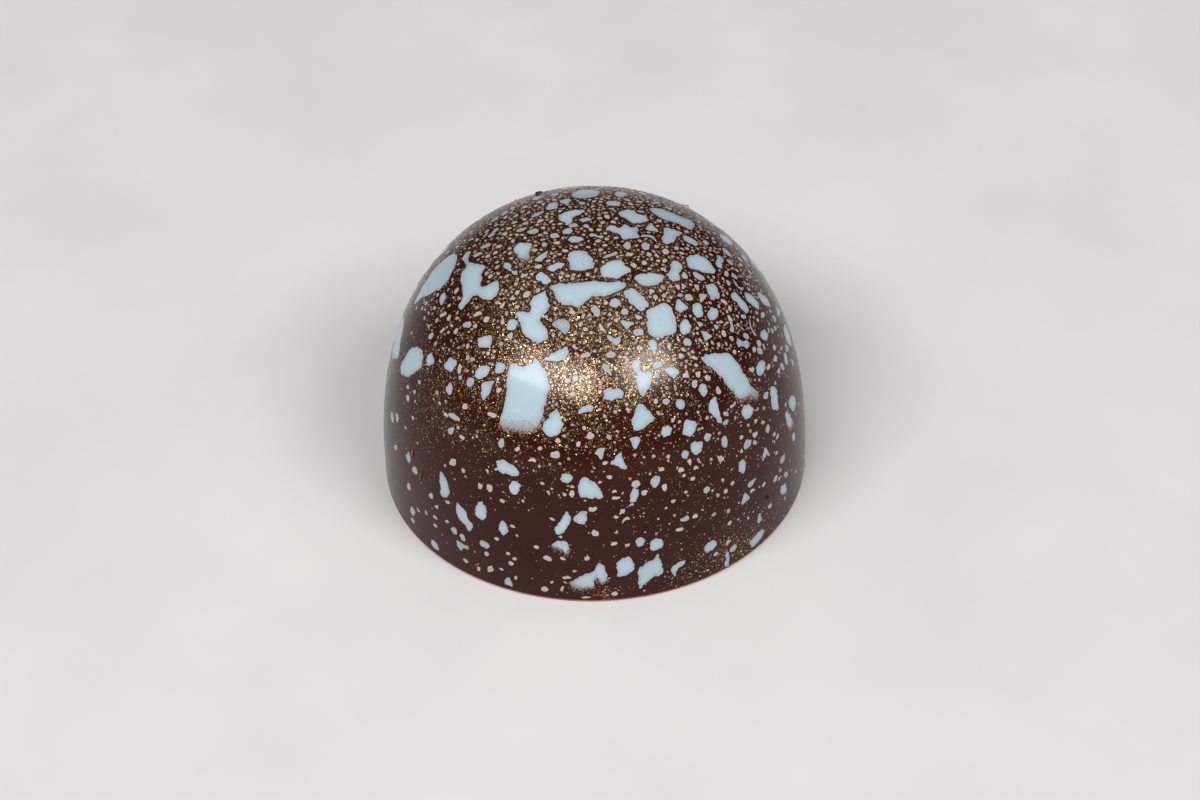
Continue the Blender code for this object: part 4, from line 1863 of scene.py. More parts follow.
@dataclass
class DropletSpray:
    """Small droplets and the mist between them.

    The zones are distances from the crown, and a row of densities holds the smallest and
    largest diameter and the droplets per square millimetre in each zone. Sizes are in
    millimetres where MM isn't named.
    """

    dome: DomeForm
    covered: DecorationMap
    rng: np.random.Generator
    zones: Numbers = (0.0, 8.0, 13.0, 17.0, 21.0, 27.2)
    densities: tuple[tuple[float, float, Numbers], ...] = (
        (0.40, 0.60, (2.00, 0.90, 0.12, 0.08, 0.04)),
        (0.25, 0.40, (12.5, 5.50, 0.80, 0.30, 0.12)),
        (0.15, 0.25, (17.0, 9.00, 1.60, 0.60, 0.25)),
        (0.07, 0.15, (4.50, 6.00, 3.00, 1.50, 0.70)),
    )
    clumps: CloudField = field(default_factory=lambda: CloudField(3.2 * MM, Seed.CLUMPS))
    haze_each: int = 3  # droplets for each point of a soft edge
    haze_reach: float = 0.13
    haze_drift: float = 0.03
    haze_widths: tuple[float, float] = (0.05, 0.11)
    surplus: float = 2.2  # places drawn for each that the densities ask for
    small_bias: float = 1.5
    stamped_from: float = 0.15  # smallest diameter that keeps others away
    lobes: tuple[tuple[int, float], ...] = ((2, 0.14), (3, 0.13), (4, 0.06))
    slope: float = 0.09
    heights: tuple[float, float] = (0.007 * MM, 0.028 * MM)
    sunk: float = 0.015 * MM
    tilts: tuple[float, float] = (0.22, 0.6)
    tone_sizes: Numbers = (0.07, 0.2, 0.3, 0.45)
    tones: Numbers = (0.0, 0.12, 0.26, 0.5)
    sheer_sizes: Numbers = (0.1, 0.3, 0.5)
    sheers: Numbers = (0.7, 0.6, 0.15)

    def places(self, low: float, high: float, rates: Numbers) -> tuple[Points, Points]:
        """Draw places and diameters for one range of sizes.

        Args:
            low: Smallest diameter in millimetres.
            high: Largest diameter in millimetres.
            rates: Droplets per square millimetre in each zone.

        Returns:
            Crown chart places and diameters, in metres.
        """
        spots, widths = [], []
        for start, end, rate in zip(self.zones, self.zones[1:], rates):
            arcs = np.linspace(start, end, 60) * MM
            ring = 2 * math.pi * self.dome.radius_at(arcs)
            area = float(np.mean(ring) * (end - start) * MM / MM**2)
            count = int(self.rng.poisson(rate * area * self.surplus))
            arc = np.interp(self.rng.random(count), np.cumsum(ring) / ring.sum(), arcs)
            azimuth = self.rng.uniform(-180.0, 180.0, count)
            chart = self.dome.wall_to_crown(azimuth, arc)
            keep = self.rng.random(count) < self.crowding(chart, low)
            spots.append(chart[keep])
            draw = self.rng.random(int(keep.sum())) ** self.small_bias
            widths.append((low + (high - low) * draw) * MM)
        return np.vstack(spots), np.concatenate(widths)

    def crowding(self, chart: Points, low: float) -> Points:
        """Chance of keeping a droplet.

        It is highest on the right shoulder, and lowest for the larger ones in the gold
        at the front.

        Args:
            chart: Crown chart places in metres.
            low: Smallest diameter of the range, in millimetres.

        Returns:
            Chances from 0 to 1.
        """
        azimuth, arc = self.dome.azimuth_arc(chart)
        arc = arc / MM
        shoulder = smooth_step(arc, 5.0, 9.0)
        side = 0.64 + 0.56 * turn_bell(azimuth, 62.0, 46.0)
        side = side - 0.3 * turn_bell(azimuth, -60.0, 35.0)
        front = turn_bell(azimuth, -4.0, 34.0) * bell(arc, 11.5, 3.6)
        gilded = 1 - front * (0.9 if low >= 0.25 else 0.45)
        even = 1 - shoulder + shoulder * side
        flank = turn_bell(azimuth, 78.0, 20.0) * bell(arc, 12.0, 4.0)
        return even * gilded * (0.3 + 0.34 * self.clumps.at(chart)) + 0.4 * flank

    def draw(self) -> list[tuple[Points, Points]]:
        """Places and diameters of every droplet, large ones first."""
        drawn = []
        for low, high, rates in self.densities:
            chart, width = self.places(low, high, rates)
            keep = []
            for index in range(len(chart)):
                place = chart[index : index + 1]
                ring = place + width[index] * 0.58 * self.star
                if np.any(self.covered.covered(np.vstack([place, ring]))):
                    continue
                keep.append(index)
                if low >= self.stamped_from:
                    self.covered.stamp(place + 0.5 * width[index] * self.star, 0.02 * MM)
            drawn.append((chart[keep], width[keep]))
        return drawn

    @property
    def star(self) -> Points:
        """Eight directions."""
        return np.stack([np.cos(circle(8)), np.sin(circle(8))], axis=1)

    def haze(self, splashes: list[Splash]) -> tuple[Points, Points]:
        """Draw a fine haze outside the edges where splashes fade out.

        Args:
            splashes: All splashes.

        Returns:
            Crown chart places and diameters, in metres.
        """
        spots = [np.zeros((0, 2))]
        for splash in splashes:
            if splash.fade is None:
                continue
            away = outward(splash.outline)
            soft = away @ splash.fade > 0.25
            rim = np.repeat(splash.outline[soft], self.haze_each, axis=0)
            offset = self.rng.exponential(self.haze_reach, (len(rim), 1)) * MM
            drift = self.rng.normal(0.0, self.haze_drift, rim.shape) * MM
            spots.append(rim + np.repeat(away[soft], self.haze_each, axis=0) * offset + drift)
        chart = np.vstack(spots)
        return chart, self.rng.uniform(*self.haze_widths, len(chart)) * MM

    def build(self, name: str, chart: Points, width: Points, sides: int) -> bpy.types.Object:
        """Build droplets as small irregular domes.

        Args:
            name: Name of the piece.
            chart: Crown chart places.
            width: Diameters in metres.
            sides: Points round each droplet.

        Returns:
            The piece.
        """
        stock = MeshStock()
        count = len(chart)
        turn = circle(sides)
        wobble = 1.0 + 0.1 * self.rng.normal(0.0, 1.0, (count, sides))
        for lobes, depth in self.lobes:
            swing = depth * self.rng.normal(0.0, 1.0, (count, 1))
            wobble = wobble + swing * np.cos(lobes * turn + self.rng.uniform(0.0, 6.3, (count, 1)))
        wobble = np.clip(wobble, 0.45, 1.6)
        stretch = self.rng.uniform(0.65, 1.0, count)
        lean = self.rng.uniform(0.0, math.pi, count)
        arc = np.hypot(chart[:, 0], chart[:, 1])
        spread = arc / np.maximum(self.dome.radius_at(arc), 0.5 * MM)
        azimuth = np.arctan2(chart[:, 0], -chart[:, 1])
        layers = []
        for reach in (0.0, 0.68, 1.0):
            radius = 0.5 * width[:, None] * wobble * reach
            right, up = radius * np.cos(turn), radius * np.sin(turn) * stretch[:, None]
            right, up = turned(right, up, lean[:, None])
            x, y = turned(right * spread[:, None], up, azimuth[:, None])
            layers.append(np.stack([chart[:, :1] + x, chart[:, 1:] + y], axis=2))
        height = np.clip(self.slope * width, *self.heights)
        self.pour(stock, layers, height, width)
        return stock.build(name, self.dome)

    def pour(self, stock: MeshStock, layers: list[Points], height: Points, width: Points) -> None:
        """Turn droplet rings into meshes.

        Args:
            stock: Where the droplets go.
            layers: Rings of places: the tops, the shoulders and the rims.
            height: Height of each droplet.
            width: Diameter of each droplet.
        """
        count, sides = layers[0].shape[:2]
        top = layers[0][:, :1]
        grid = np.concatenate([top, layers[1], layers[2], top], axis=1)
        size = grid.shape[1]
        lift = np.empty((count, size))
        lift[:, 0] = height
        lift[:, 1 : 1 + sides] = 0.85 * height[:, None]
        lift[:, 1 + sides :] = -self.sunk
        chart = grid.reshape(-1, 2)
        points, normals = self.dome.on_dome(chart, lift.reshape(-1))
        shaped = points.reshape(count, size, 3)
        facing = normals.reshape(count, size, 3).copy()
        inner, outer, last = 1, 1 + sides, 1 + 2 * sides
        tilt = np.repeat(self.tilts, sides)[None, :, None]
        facing[:, inner:last] += unit(shaped[:, inner:last] - shaped[:, :1]) * tilt
        facing = unit(facing)
        step = np.arange(sides)
        after = (step + 1) % sides
        rings = (
            (np.full(sides, 0), inner + step, inner + after),
            (inner + step, outer + step, outer + after),
            (inner + step, outer + after, inner + after),
            (outer + after, outer + step, np.full(sides, last)),
        )
        faces = np.concatenate([np.stack(ring, axis=1) for ring in rings])
        every = faces[None] + (np.arange(count) * size)[:, None, None]
        buried = np.tile(np.arange(len(faces)) >= 3 * sides, count)
        tone = np.interp(width / MM, self.tone_sizes, self.tones)
        tone = np.clip(tone + self.rng.normal(0.0, 0.12, count), 0.0, 1.0)
        tone = np.repeat(tone[:, None], size, axis=1)
        tone[:, inner:outer] *= 0.85
        tone[:, outer:last] *= 0.65
        sheer = np.interp(width / MM, self.sheer_sizes, self.sheers)
        edge = np.repeat((sheer * self.rng.random(count))[:, None], size, axis=1)
        edge[:, outer:last] = 0.8
        tint = self.rng.uniform(-1.0, 1.0, count)
        stock.add(
            points, every.reshape(-1, 3), facing.reshape(-1, 3), chart, buried,
            tone=tone.reshape(-1), edge=edge.reshape(-1), thin=0.0,
            tint=np.repeat(tint, size),
        )

    @staticmethod
    def dress(piece: bpy.types.Object, finish: CocoaButterFinish, effects: EffectLibrary) -> None:
        """Give droplets their finish."""
        settle(piece, finish.build(effects), "blue_cocoa_butter")


# --------------------------------------------------------------------- gold flakes


@dataclass(frozen=True)
class GoldPatch:
    """A patch of gold: azimuths in degrees, distances from the crown in millimetres."""

    share: float
    azimuth: float
    azimuth_width: float
    arc: float
    arc_width: float


@dataclass
class GoldCloud:
    """How densely the gold was brushed and flicked over the dome."""

    dome: DomeForm
    patches: tuple[GoldPatch, ...] = (
        GoldPatch(0.6, -6.0, 27.0, 11.0, 3.8),  # front shoulder
        GoldPatch(0.34, 25.0, 28.0, 8.2, 4.4),  # right of the crown
        GoldPatch(0.13, -50.0, 24.0, 15.0, 3.5),  # left wall
        GoldPatch(0.3, 150.0, 26.0, 11.0, 3.5),  # back shoulder
        GoldPatch(0.16, -130.0, 40.0, 9.0, 4.0),  # far left
        GoldPatch(0.16, 38.0, 16.0, 26.4, 1.6),  # foot on the right
        GoldPatch(0.14, 2.0, 4.0, 26.9, 0.5),  # foot at the front
    )
    knot: tuple[float, float] = (5.3, -4.3)  # small dense spot, on the crown chart
    bare: tuple[float, float] = (-10.3, -5.8)  # rubbed spot, on the crown chart
    most: float = 0.85
    blots: CloudField = field(default_factory=lambda: CloudField(1.5 * MM, Seed.BLOTS))
    grains: CloudField = field(default_factory=lambda: CloudField(0.42 * MM, Seed.GRAINS))
    specks: CloudField = field(default_factory=lambda: CloudField(0.14 * MM, Seed.SPECKS))

    def share(self, chart: Points) -> Points:
        """Share of the surface that gold covers.

        Args:
            chart: Crown chart places in metres.

        Returns:
            Shares from 0 to 1.
        """
        azimuth, arc = self.dome.azimuth_arc(chart)
        arc = arc / MM
        band = smooth_step(arc, 1.5, 4.0) * (1 - smooth_step(arc, 11.5, 15.5))
        total = 0.46 * turn_bell(azimuth, -44.0, 28.0) * band
        crown = 0.44 * smooth_step(arc, 0.0, 1.5) * (1 - smooth_step(arc, 5.5, 9.0))
        total += crown * (0.5 + 0.5 * turn_bell(azimuth, -15.0, 80.0))
        total += 0.02 * smooth_step(arc, 16.0, 20.0) * turn_bell(azimuth, 35.0, 30.0)
        total += 0.6 * np.exp(-np.sum((chart / MM - self.knot) ** 2, axis=1) / 0.8)
        for patch in self.patches:
            turn = turn_bell(azimuth, patch.azimuth, patch.azimuth_width)
            total += patch.share * turn * bell(arc, patch.arc, patch.arc_width)
        rubbed = np.exp(-np.sum(((chart / MM - self.bare) / (0.75, 0.55)) ** 2, axis=1))
        total *= 1 - 0.95 * np.minimum(1.6 * rubbed, 1.0)
        blot = smooth_step(self.blots.at(chart), 0.12, 0.6)
        clump = 0.5 + 0.58 * blot + 0.6 * (self.grains.at(chart) - 0.5)
        speck = 0.3 + 1.4 * smooth_step(self.specks.at(chart), 0.38, 0.62)
        return np.clip(total * clump * speck, 0.0, self.most)


@dataclass
class GoldFlakes:
    """Thousands of small ridged flakes pressed on the chocolate."""

    dome: DomeForm
    cloud: GoldCloud
    covered: DecorationMap
    rng: np.random.Generator
    tries: int = 1_450_000
    flake_area: float = 0.00235
    length: float = 0.079  # median, in millimetres
    length_spread: float = 0.35
    length_limits: tuple[float, float] = (0.045, 0.22)
    glint_shape: tuple[float, float] = (0.56, 0.98)
    grip: float = 0.003 * MM
    loose_share: float = 0.38
    loose_tilt: float = 0.9
    fringe_from: float = 1.1  # smallest splash with gold along its lower edge
    fringe_share: float = 0.8
    fringe_gap: tuple[float, float] = (0.05, 0.16)
    fringe_end: float = 16.5 * MM  # how far down the dome it goes

    def places(self) -> Points:
        """Draw flake places where the cloud asks for them.

        Returns:
            Crown chart places in metres.
        """
        reach = self.dome.wall_length - 0.25 * MM
        spot = self.rng.uniform(-reach, reach, (self.tries, 2))
        spot = spot[np.hypot(spot[:, 0], spot[:, 1]) < reach]
        per_try = (2 * reach / MM) ** 2 / self.tries
        share = self.cloud.share(spot)
        cover = -np.log(1.0 - np.minimum(share, 0.88))
        chance = cover / self.flake_area * per_try * self.dome.chart_area(spot)
        chosen = spot[self.rng.random(len(spot)) < chance]
        return chosen[~self.covered.covered(chosen)]

    def fringe(self, splashes: list[Splash]) -> Points:
        """Places along the lower edges of the larger splashes.

        Args:
            splashes: All splashes.

        Returns:
            Crown chart places in metres.
        """
        found = [np.zeros((0, 2))]
        for splash in splashes:
            if splash.size < self.fringe_from:
                continue
            away = outward(splash.outline)
            low_side = np.sum(away * unit(splash.outline), axis=1) > 0.3
            rim = splash.outline[low_side]
            share = self.cloud.share(rim)
            chance = 0.25 + 0.75 * smooth_step(share, 0.0, 0.3)
            chance = chance * (np.hypot(rim[:, 0], rim[:, 1]) < self.fringe_end)
            keep = self.rng.random(len(rim)) < chance * self.fringe_share
            offset = self.rng.uniform(*self.fringe_gap, int(keep.sum()))[:, None] * MM
            found.append(rim[keep] + away[low_side][keep] * offset)
        return np.vstack(found)

    def build(self, splashes: list[Splash]) -> bpy.types.Object:
        """Build the flakes.

        Args:
            splashes: All splashes, for the fringe under them.

        Returns:
            The piece.
        """
        chart = np.vstack([self.places(), self.fringe(splashes)])
        count = len(chart)
        rng = self.rng
        length = rng.lognormal(math.log(self.length), self.length_spread, count)
        length = 0.5 * MM * np.clip(length, *self.length_limits)
        width = length * rng.uniform(0.4, 0.85, count)
        lean = rng.uniform(0.0, 2 * math.pi, count)
        base, up = self.dome.on_dome(chart)
        helper = np.tile([0.0, 0.0, 1.0], (count, 1))
        helper[np.abs(up[:, 2]) > 0.9] = (1.0, 0.0, 0.0)
        side = unit(np.cross(helper, up))
        along = side * np.cos(lean)[:, None] + np.cross(up, side) * np.sin(lean)[:, None]
        across = np.cross(up, along)
        skew = rng.uniform(-0.35, 0.35, count)
        ridge = rng.uniform(0.02, 0.07, (count, 2)) * width[:, None]
        loose = rng.random(count) < self.loose_share
        tilt = np.where(loose, rng.uniform(0.1, self.loose_tilt, count), 0.0) * width
        grip = self.grip
        wing = across * width[:, None] + along * (length * skew)[:, None]
        corners = [
            base + along * length[:, None] + up * (grip + ridge[:, :1] + 0.5 * tilt[:, None]),
            base - along * (length * 0.9)[:, None] + up * (grip + ridge[:, 1:]),
            base + wing + up * grip,
            base - wing + up * (grip + tilt[:, None]),
        ]
        points = np.stack(corners, axis=1).reshape(-1, 3)
        faces = np.array([[0, 2, 1], [0, 1, 3], [0, 3, 2], [1, 2, 3]])
        every = (faces[None] + (np.arange(count) * 4)[:, None, None]).reshape(-1, 3)
        glint = rng.beta(*self.glint_shape, count)
        stock = MeshStock()
        stock.add(
            points, every, np.repeat(up, 4, axis=0), self.flat_chart(points),
            np.tile([False, False, True, True], count), glint=np.repeat(glint, 4),
        )
        return stock.build("gold_flakes", self.dome, shaded=False)

    def flat_chart(self, points: Points) -> Points:
        """Crown chart places of points close to the dome."""
        reach = np.hypot(points[:, 0], points[:, 1])
        power = self.dome.power / 2
        lift = np.maximum(points[:, 2] - self.dome.foot, 0.0) / self.dome.rise
        turn = np.arctan2(lift**power, (reach / self.dome.radius) ** power)
        level = self.dome.radius * np.cos(turn) ** (1 / power)
        known = self.dome.radii
        wide = int(np.argmax(known))
        arc = np.interp(level, known[: wide + 1], self.dome.arcs[: wide + 1])
        low = turn < 0.25
        heights = self.dome.foot + self.dome.rise * np.sin(turn) ** (1 / power)
        falling = self.dome.heights[::-1]
        arc[low] = np.interp(heights[low], falling, self.dome.arcs[::-1])
        return points[:, :2] / np.maximum(reach, 1e-9)[:, None] * arc[:, None]

    @staticmethod
    def dress(piece: bpy.types.Object, effects: EffectLibrary) -> None:
        """Give the flakes their metallic finish."""
        settle(piece, GoldFlakeFinish().build(effects), "gold_flake")


# ---------------------------------------------------------------- fibres and crumbs


@dataclass(frozen=True)
class FibreDesign:
    """One fibre: where it lies, how it runs and how light it is.

    lift holds how far its start, middle and end stand off the dome, in millimetres.
    """

    azimuth: float
    arc: float
    length: float
    width: float
    lean: float
    curl: float
    tone: float
    lift: tuple[float, float, float] = (0.0, 0.02, 0.0)


@dataclass
class OrangeFibres:
    """Stray fibres that stuck to the sweet."""

    dome: DomeForm
    rng: np.random.Generator
    designs: tuple[FibreDesign, ...] = (
        FibreDesign(-59.5, 20.6, 0.75, 0.11, 85.0, 25.0, 0.3),
        FibreDesign(-54.5, 21.6, 0.8, 0.12, 75.0, -30.0, 0.0),
        FibreDesign(-33.5, 26.2, 0.4, 0.08, 40.0, 30.0, 0.8),
        FibreDesign(-54.2, 9.2, 0.16, 0.12, 0.0, 0.0, 1.0),
        FibreDesign(-120.0, 2.9, 0.4, 0.03, 25.0, 35.0, 0.3),
        FibreDesign(-10.0, 2.55, 0.5, 0.03, -20.0, 25.0, 0.5),
        FibreDesign(4.0, 2.85, 0.4, 0.025, -35.0, -30.0, 0.5),
        FibreDesign(128.0, 8.4, 1.3, 0.07, -35.0, 150.0, 0.5, (0.0, 0.5, 0.3)),
        FibreDesign(0.5, 27.0, 1.1, 0.05, 3.0, 20.0, 0.4),
        FibreDesign(-160.0, 19.0, 0.7, 0.12, 50.0, 60.0, 0.5),
        FibreDesign(105.0, 22.0, 0.5, 0.09, -20.0, 40.0, 0.7),
    )
    rings: int = 18
    sides: int = 8

    def build(self) -> bpy.types.Object:
        """Build the fibres as tapered tubes.

        Returns:
            The piece.
        """
        stock = MeshStock()
        for design in self.designs:
            self.spin(stock, design)
        return stock.build("orange_fibres", self.dome)

    def spin(self, stock: MeshStock, design: FibreDesign) -> None:
        """Add one fibre to the stock.

        Args:
            stock: Where the fibre goes.
            design: The fibre.
        """
        share = np.linspace(0.0, 1.0, self.rings)
        heading = np.radians(design.lean + design.curl * (share - 0.5))
        step = design.length / (self.rings - 1)
        right = np.concatenate([[0.0], np.cumsum(np.cos(heading[:-1]))]) * step
        up = np.concatenate([[0.0], np.cumsum(np.sin(heading[:-1]))]) * step
        right, up = right - right.mean(), up - up.mean()
        right = right + self.rng.normal(0.0, 0.03 * design.width, self.rings)
        away = (design.arc - up) * MM
        reach = float(self.dome.radius_at(design.arc * MM))
        azimuth = design.azimuth + np.degrees(right * MM / reach)
        chart = self.dome.wall_to_crown(azimuth, away)
        lift = np.interp(share, (0.0, 0.5, 1.0), design.lift) + 0.3 * design.width
        path, outwards = self.dome.on_dome(chart, lift * MM)
        along = unit(np.gradient(path, axis=0))
        side = unit(np.cross(along, outwards))
        top = np.cross(side, along)
        taper = np.clip(1.15 * np.sin(math.pi * (0.06 + 0.88 * share)) ** 0.5, 0.0, 1.0)
        lumps = 1.0 + 0.16 * self.rng.normal(0.0, 1.0, self.rings)
        radius = 0.5 * design.width * MM * taper * lumps
        turn = circle(self.sides)
        ring = side[:, None] * np.cos(turn)[None, :, None] + top[:, None] * np.sin(turn)[None, :, None]
        body = path[:, None] + ring * radius[:, None, None]
        points = np.vstack([body.reshape(-1, 3), path[:1], path[-1:]])
        normals = np.vstack([ring.reshape(-1, 3), -along[:1], along[-1:]])
        fine = np.repeat(chart, self.sides, axis=0)
        offset = np.stack([np.cos(turn), np.sin(turn)], axis=1) * 0.5 * design.width * MM
        fine = fine + np.tile(offset, (self.rings, 1))
        spread = np.vstack([fine, chart[:1], chart[-1:]])
        stock.add(points, capped_rings(self.rings, self.sides), normals, spread, tone=design.tone)

    @staticmethod
    def dress(piece: bpy.types.Object, effects: EffectLibrary) -> None:
        """Give the fibres their finish."""
        settle(piece, FibreFinish().build(effects), "orange_fibre")


@dataclass
class ChocolateCrumbs:
    """Broken crumbs of chocolate that stuck to the sweet.

    A row holds azimuth, distance from the crown, width, height and lean.
    """

    dome: DomeForm
    rng: np.random.Generator
    rows: tuple[Row, ...] = (
        (-156.0, 8.4, 0.5, 0.36, 15.0),
        (-18.0, 24.1, 0.28, 0.22, 0.0),
        (52.0, 23.9, 0.25, 0.2, 0.0),
    )
    bands: int = 10
    sides: int = 16
    cuts: int = 14

    def build(self) -> bpy.types.Object:
        """Build the crumbs as lumpy broken pieces.

        Returns:
            The piece.
        """
        stock = MeshStock()
        for row in self.rows:
            self.break_off(stock, row)
        return stock.build("chocolate_crumbs", self.dome, shaded=False)

    def break_off(self, stock: MeshStock, row: Row) -> None:
        """Add one crumb to the stock.

        Args:
            stock: Where the crumb goes.
            row: Place, sizes and lean of the crumb.
        """
        azimuth, arc, width, height, lean = row
        polar = np.linspace(0.0, math.pi, self.bands + 1)[1:-1]
        level, angle = np.meshgrid(polar, circle(self.sides), indexing="ij")
        rays = np.sin(level) * np.cos(angle), np.sin(level) * np.sin(angle), np.cos(level)
        rays = np.vstack([np.stack(rays, axis=-1).reshape(-1, 3), [[0, 0, 1], [0, 0, -1]]])
        cuts = unit(self.rng.normal(0.0, 1.0, (self.cuts, 3)))
        depth = self.rng.uniform(0.62, 1.0, self.cuts)
        reach = np.min(depth / np.maximum(rays @ cuts.T, 0.35), axis=1)
        rays = rays * np.clip(reach, 0.5, 1.15)[:, None]
        chart = self.dome.wall_to_crown(np.array([azimuth]), np.array([arc * MM]))
        centre, up = self.dome.on_dome(chart, 0.22 * height * MM)
        spin = Matrix.Rotation(math.radians(lean), 3, Vector(up[0]))
        turn = math.radians(azimuth)
        right = spin @ Vector((math.cos(turn), math.sin(turn), 0.0))
        forward = np.cross(up[0], right)
        size = np.array([0.5 * width, 0.42 * width, 0.5 * height]) * MM
        axes = np.stack([np.array(right), forward, up[0]])
        points = centre + (rays * size) @ axes
        fine = chart + rays[:, :2] * 0.5 * width * MM
        stock.add(points, capped_rings(self.bands - 1, self.sides), unit(rays), fine)

    @staticmethod
    def dress(piece: bpy.types.Object, effects: EffectLibrary) -> None:
        """Give the crumbs a duller chocolate finish."""
        finish = ChocolateFinish(
            name="broken_chocolate",
            body=(0.04, 0.017, 0.012),
            shade=(0.022, 0.009, 0.007),
            roughness=(0.4, 0.6),
            dusted=False,
        )
        settle(piece, finish.build(effects), "dark_chocolate")


# -------------------------------------------------------------------------- studio


@dataclass(frozen=True)
class SoftBox:
    """A square light that looks at the sweet."""

    name: str
    azimuth: float
    elevation: float
    distance: float
    width: float
    height: float
    watts: float

    def hang(self, target: Vector) -> None:
        """Hang the light.

        Args:
            target: What it looks at.
        """
        data = bpy.data.lights.new(self.name, "AREA")
        data.shape = "RECTANGLE"
        data.size, data.size_y = self.width, self.height
        data.energy = self.watts
        light = link(self.name, data)
        turn, rise = math.radians(self.azimuth), math.radians(self.elevation)
        away = Vector(
            (math.sin(turn) * math.cos(rise), -math.cos(turn) * math.cos(rise), math.sin(rise))
        )
        light.location = target + away * self.distance
        light.rotation_euler = away.to_track_quat("Z", "Y").to_euler()


@dataclass
class Studio:
    """Pale tabletop, two soft boxes, a white sheet overhead and a dim room."""

    dome: DomeForm
    boxes: tuple[SoftBox, ...] = (
        SoftBox("left_soft_box", -32.0, 48.0, 0.9, 0.78, 0.34, 6.4),
        SoftBox("right_soft_box", 44.0, 47.0, 0.9, 0.44, 0.36, 3.75),
        SoftBox("overhead_sheet", 0.0, 86.0, 1.0, 1.3, 1.3, 2.0),
    )
    room: tuple[float, float, float] = (0.095, 0.095, 0.1)
    floor_width: float = 1.2
    floor_gap: float = 0.01 * MM
    floor_lines: int = 9

    def build(self, effects: EffectLibrary) -> None:
        """Set the floor, the lights and the room.

        Args:
            effects: Shared node groups.
        """
        for box in self.boxes:
            box.hang(self.dome.middle)
        floor = self.lay_floor()
        floor.data.materials.append(FloorFinish().build(effects))
        floor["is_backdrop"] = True
        world = bpy.data.worlds.new("dim_room")
        world.use_nodes = True
        shade = world.node_tree.nodes["Background"]
        shade.inputs["Color"].default_value = (*self.room, 1.0)
        bpy.context.scene.world = world
        bpy.context.scene.view_settings.view_transform = "Standard"

    def lay_floor(self) -> bpy.types.Object:
        """A flat tabletop under the sweet."""
        half, lines = self.floor_width / 2, self.floor_lines
        steps = np.linspace(-half, half, lines)
        points = [(float(x), float(y), -self.floor_gap) for y in steps for x in steps]
        firsts = [row * lines + column for row in range(lines - 1) for column in range(lines - 1)]
        faces = [(first, first + 1, first + 1 + lines, first + lines) for first in firsts]
        mesh = bpy.data.meshes.new("tabletop")
        mesh.from_pydata(points, [], faces)
        return link("tabletop", mesh)


@dataclass
class StudioCamera:
    """The camera, looking down on the sweet from the front."""

    dome: DomeForm
    elevation: float = 40.28
    distance: float = 16.0  # in radii of the dome
    lens: float = 102.56
    sensor: float = 36.0
    clip: tuple[float, float] = (0.01, 10.0)
    roll: float = -1.53
    aim_right: float = 0.475 * MM
    aim_up: float = -1.866 * MM

    def place(self) -> None:
        """Make the camera and aim it."""
        data = bpy.data.cameras.new("camera")
        data.lens = self.lens
        data.sensor_width = self.sensor
        data.clip_start, data.clip_end = self.clip
        camera = link("camera", data)
        rise = math.radians(self.elevation)
        turn = Matrix.Rotation(math.radians(self.roll), 3, "Z").to_quaternion()
        away = Vector((0.0, -math.cos(rise), math.sin(rise)))
        camera.location = self.dome.middle + away * (self.distance * self.dome.radius)
        axes = (away.to_track_quat("Z", "Y") @ turn).to_matrix()
        target = self.dome.middle + axes.col[0] * self.aim_right + axes.col[1] * self.aim_up
        aimed = (camera.location - target).to_track_quat("Z", "Y")
        camera.rotation_euler = (aimed @ turn).to_euler()
        bpy.context.scene.camera = camera


# ---------------------------------------------------------------------------- main


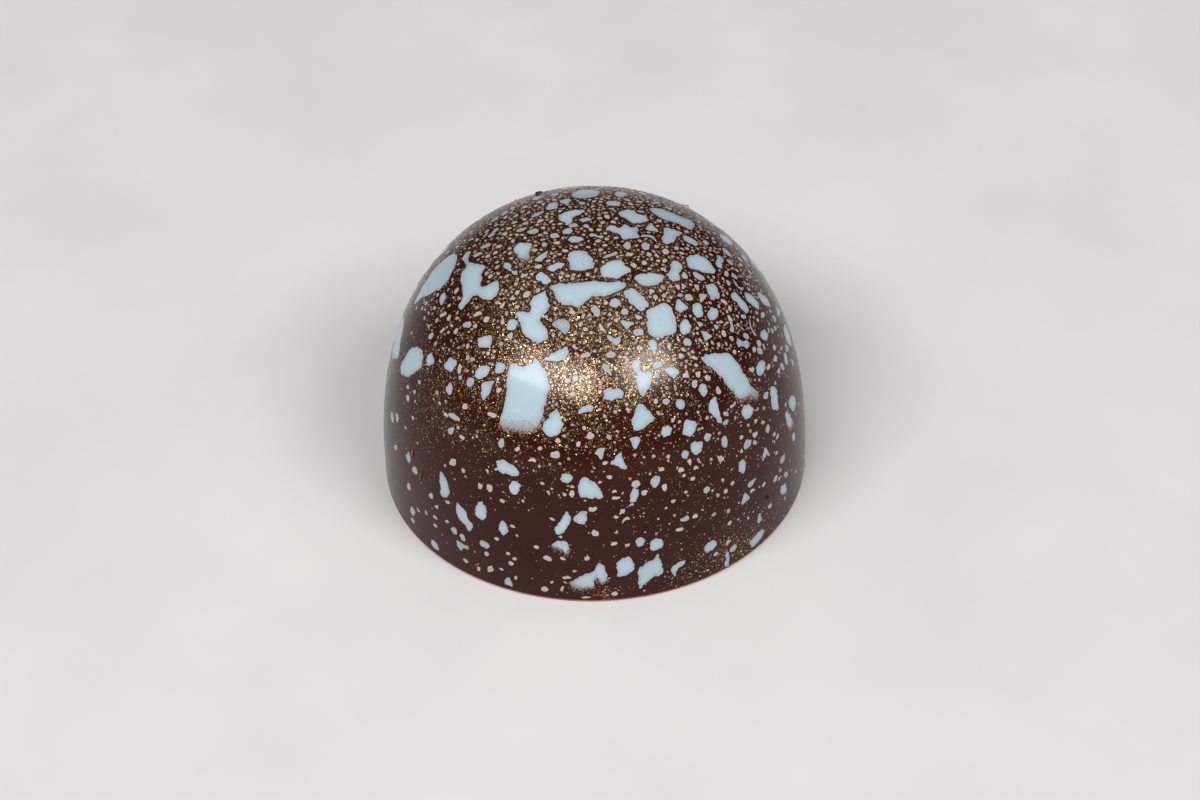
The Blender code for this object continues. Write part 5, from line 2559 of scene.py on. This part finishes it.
@dataclass
class Decoration:
    """Everything that was splashed, sprayed and brushed on the sweet."""

    dome: DomeForm
    gold: GoldCloud
    covered: DecorationMap = field(default_factory=DecorationMap)
    droplet_sides: int = 12
    mist_sides: int = 7

    def cut_splashes(self) -> list[Splash]:
        """Cut the splashes of the design sheet and scatter those of the far sides.

        Returns:
            Every splash.
        """
        cutter = SplashCutter(self.dome, Seed.CUTTER.chance())
        splashes = [cutter.drawn(Chart.CROWN, splash) for splash in CROWN_DRAWN]
        splashes += [cutter.drawn(Chart.WALL, splash) for splash in WALL_DRAWN]
        for chart, rows in ((Chart.CROWN, CROWN_ROWS), (Chart.WALL, WALL_ROWS)):
            for form, lines in rows.items():
                splashes += [cutter.row(chart, form, line) for line in lines]
        for splash in splashes:
            self.covered.stamp(splash.outline)
        LOG.info("splashes of the design sheet: %d", len(splashes))
        scatter = SplashScatter(cutter, self.covered, Seed.SCATTER.chance())
        return splashes + scatter.scatter()

    def build(self, effects: EffectLibrary) -> None:
        """Build and dress the decoration.

        Args:
            effects: Shared node groups.
        """
        splashes = self.cut_splashes()
        film = SplashFilm(self.dome, Seed.FILM.chance())
        stock = MeshStock()
        for splash in splashes:
            film.cast(stock, splash)
        film.dress(stock.build(film.name, self.dome), effects)
        LOG.info("splashes cast: %d", len(splashes))
        spray = DropletSpray(self.dome, self.covered, Seed.SPRAY.chance())
        *drops, mist = spray.draw()
        chart = np.vstack([place for place, _ in drops])
        width = np.concatenate([size for _, size in drops])
        piece = spray.build("cocoa_butter_droplets", chart, width, self.droplet_sides)
        spray.dress(piece, CocoaButterFinish("blue_cocoa_butter_droplet"), effects)
        haze = spray.haze(splashes)
        mist = [np.concatenate(pair) for pair in zip(mist, haze)]
        piece = spray.build("cocoa_butter_mist", *mist, self.mist_sides)
        finish = CocoaButterFinish("blue_cocoa_butter_mist", roughness=(0.3, 0.4))
        spray.dress(piece, finish, effects)
        flakes = GoldFlakes(self.dome, self.gold, self.covered, Seed.FLAKES.chance())
        flakes.dress(flakes.build(splashes), effects)
        fibres = OrangeFibres(self.dome, Seed.FIBRES.chance())
        fibres.dress(fibres.build(), effects)
        crumbs = ChocolateCrumbs(self.dome, Seed.CRUMBS.chance())
        crumbs.dress(crumbs.build(), effects)


def write_sizes() -> None:
    """Gather the CAD box and the box of the visual model."""
    boxes = {"cad": CAD_BOX, "visual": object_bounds()}
    plain = {name: [list(corner) for corner in corners] for name, corners in boxes.items()}


def main() -> None:
    """Build the praline, its decoration and the studio, in order."""
    logging.basicConfig(level=logging.INFO, format="%(name)s: %(message)s")
    low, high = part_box(PRALINE_NODE)
    dome = DomeForm(radius=(high.x - low.x) / 2, height=high.z - low.z)
    effects = EffectLibrary()
    gold = GoldCloud(dome)
    shell = PralineShell(dome, gold)
    shell.dress(shell.build(), effects)
    Decoration(dome, gold).build(effects)
    Studio(dome).build(effects)
    StudioCamera(dome).place()
    write_sizes()


if __name__ == "__main__":
    main()
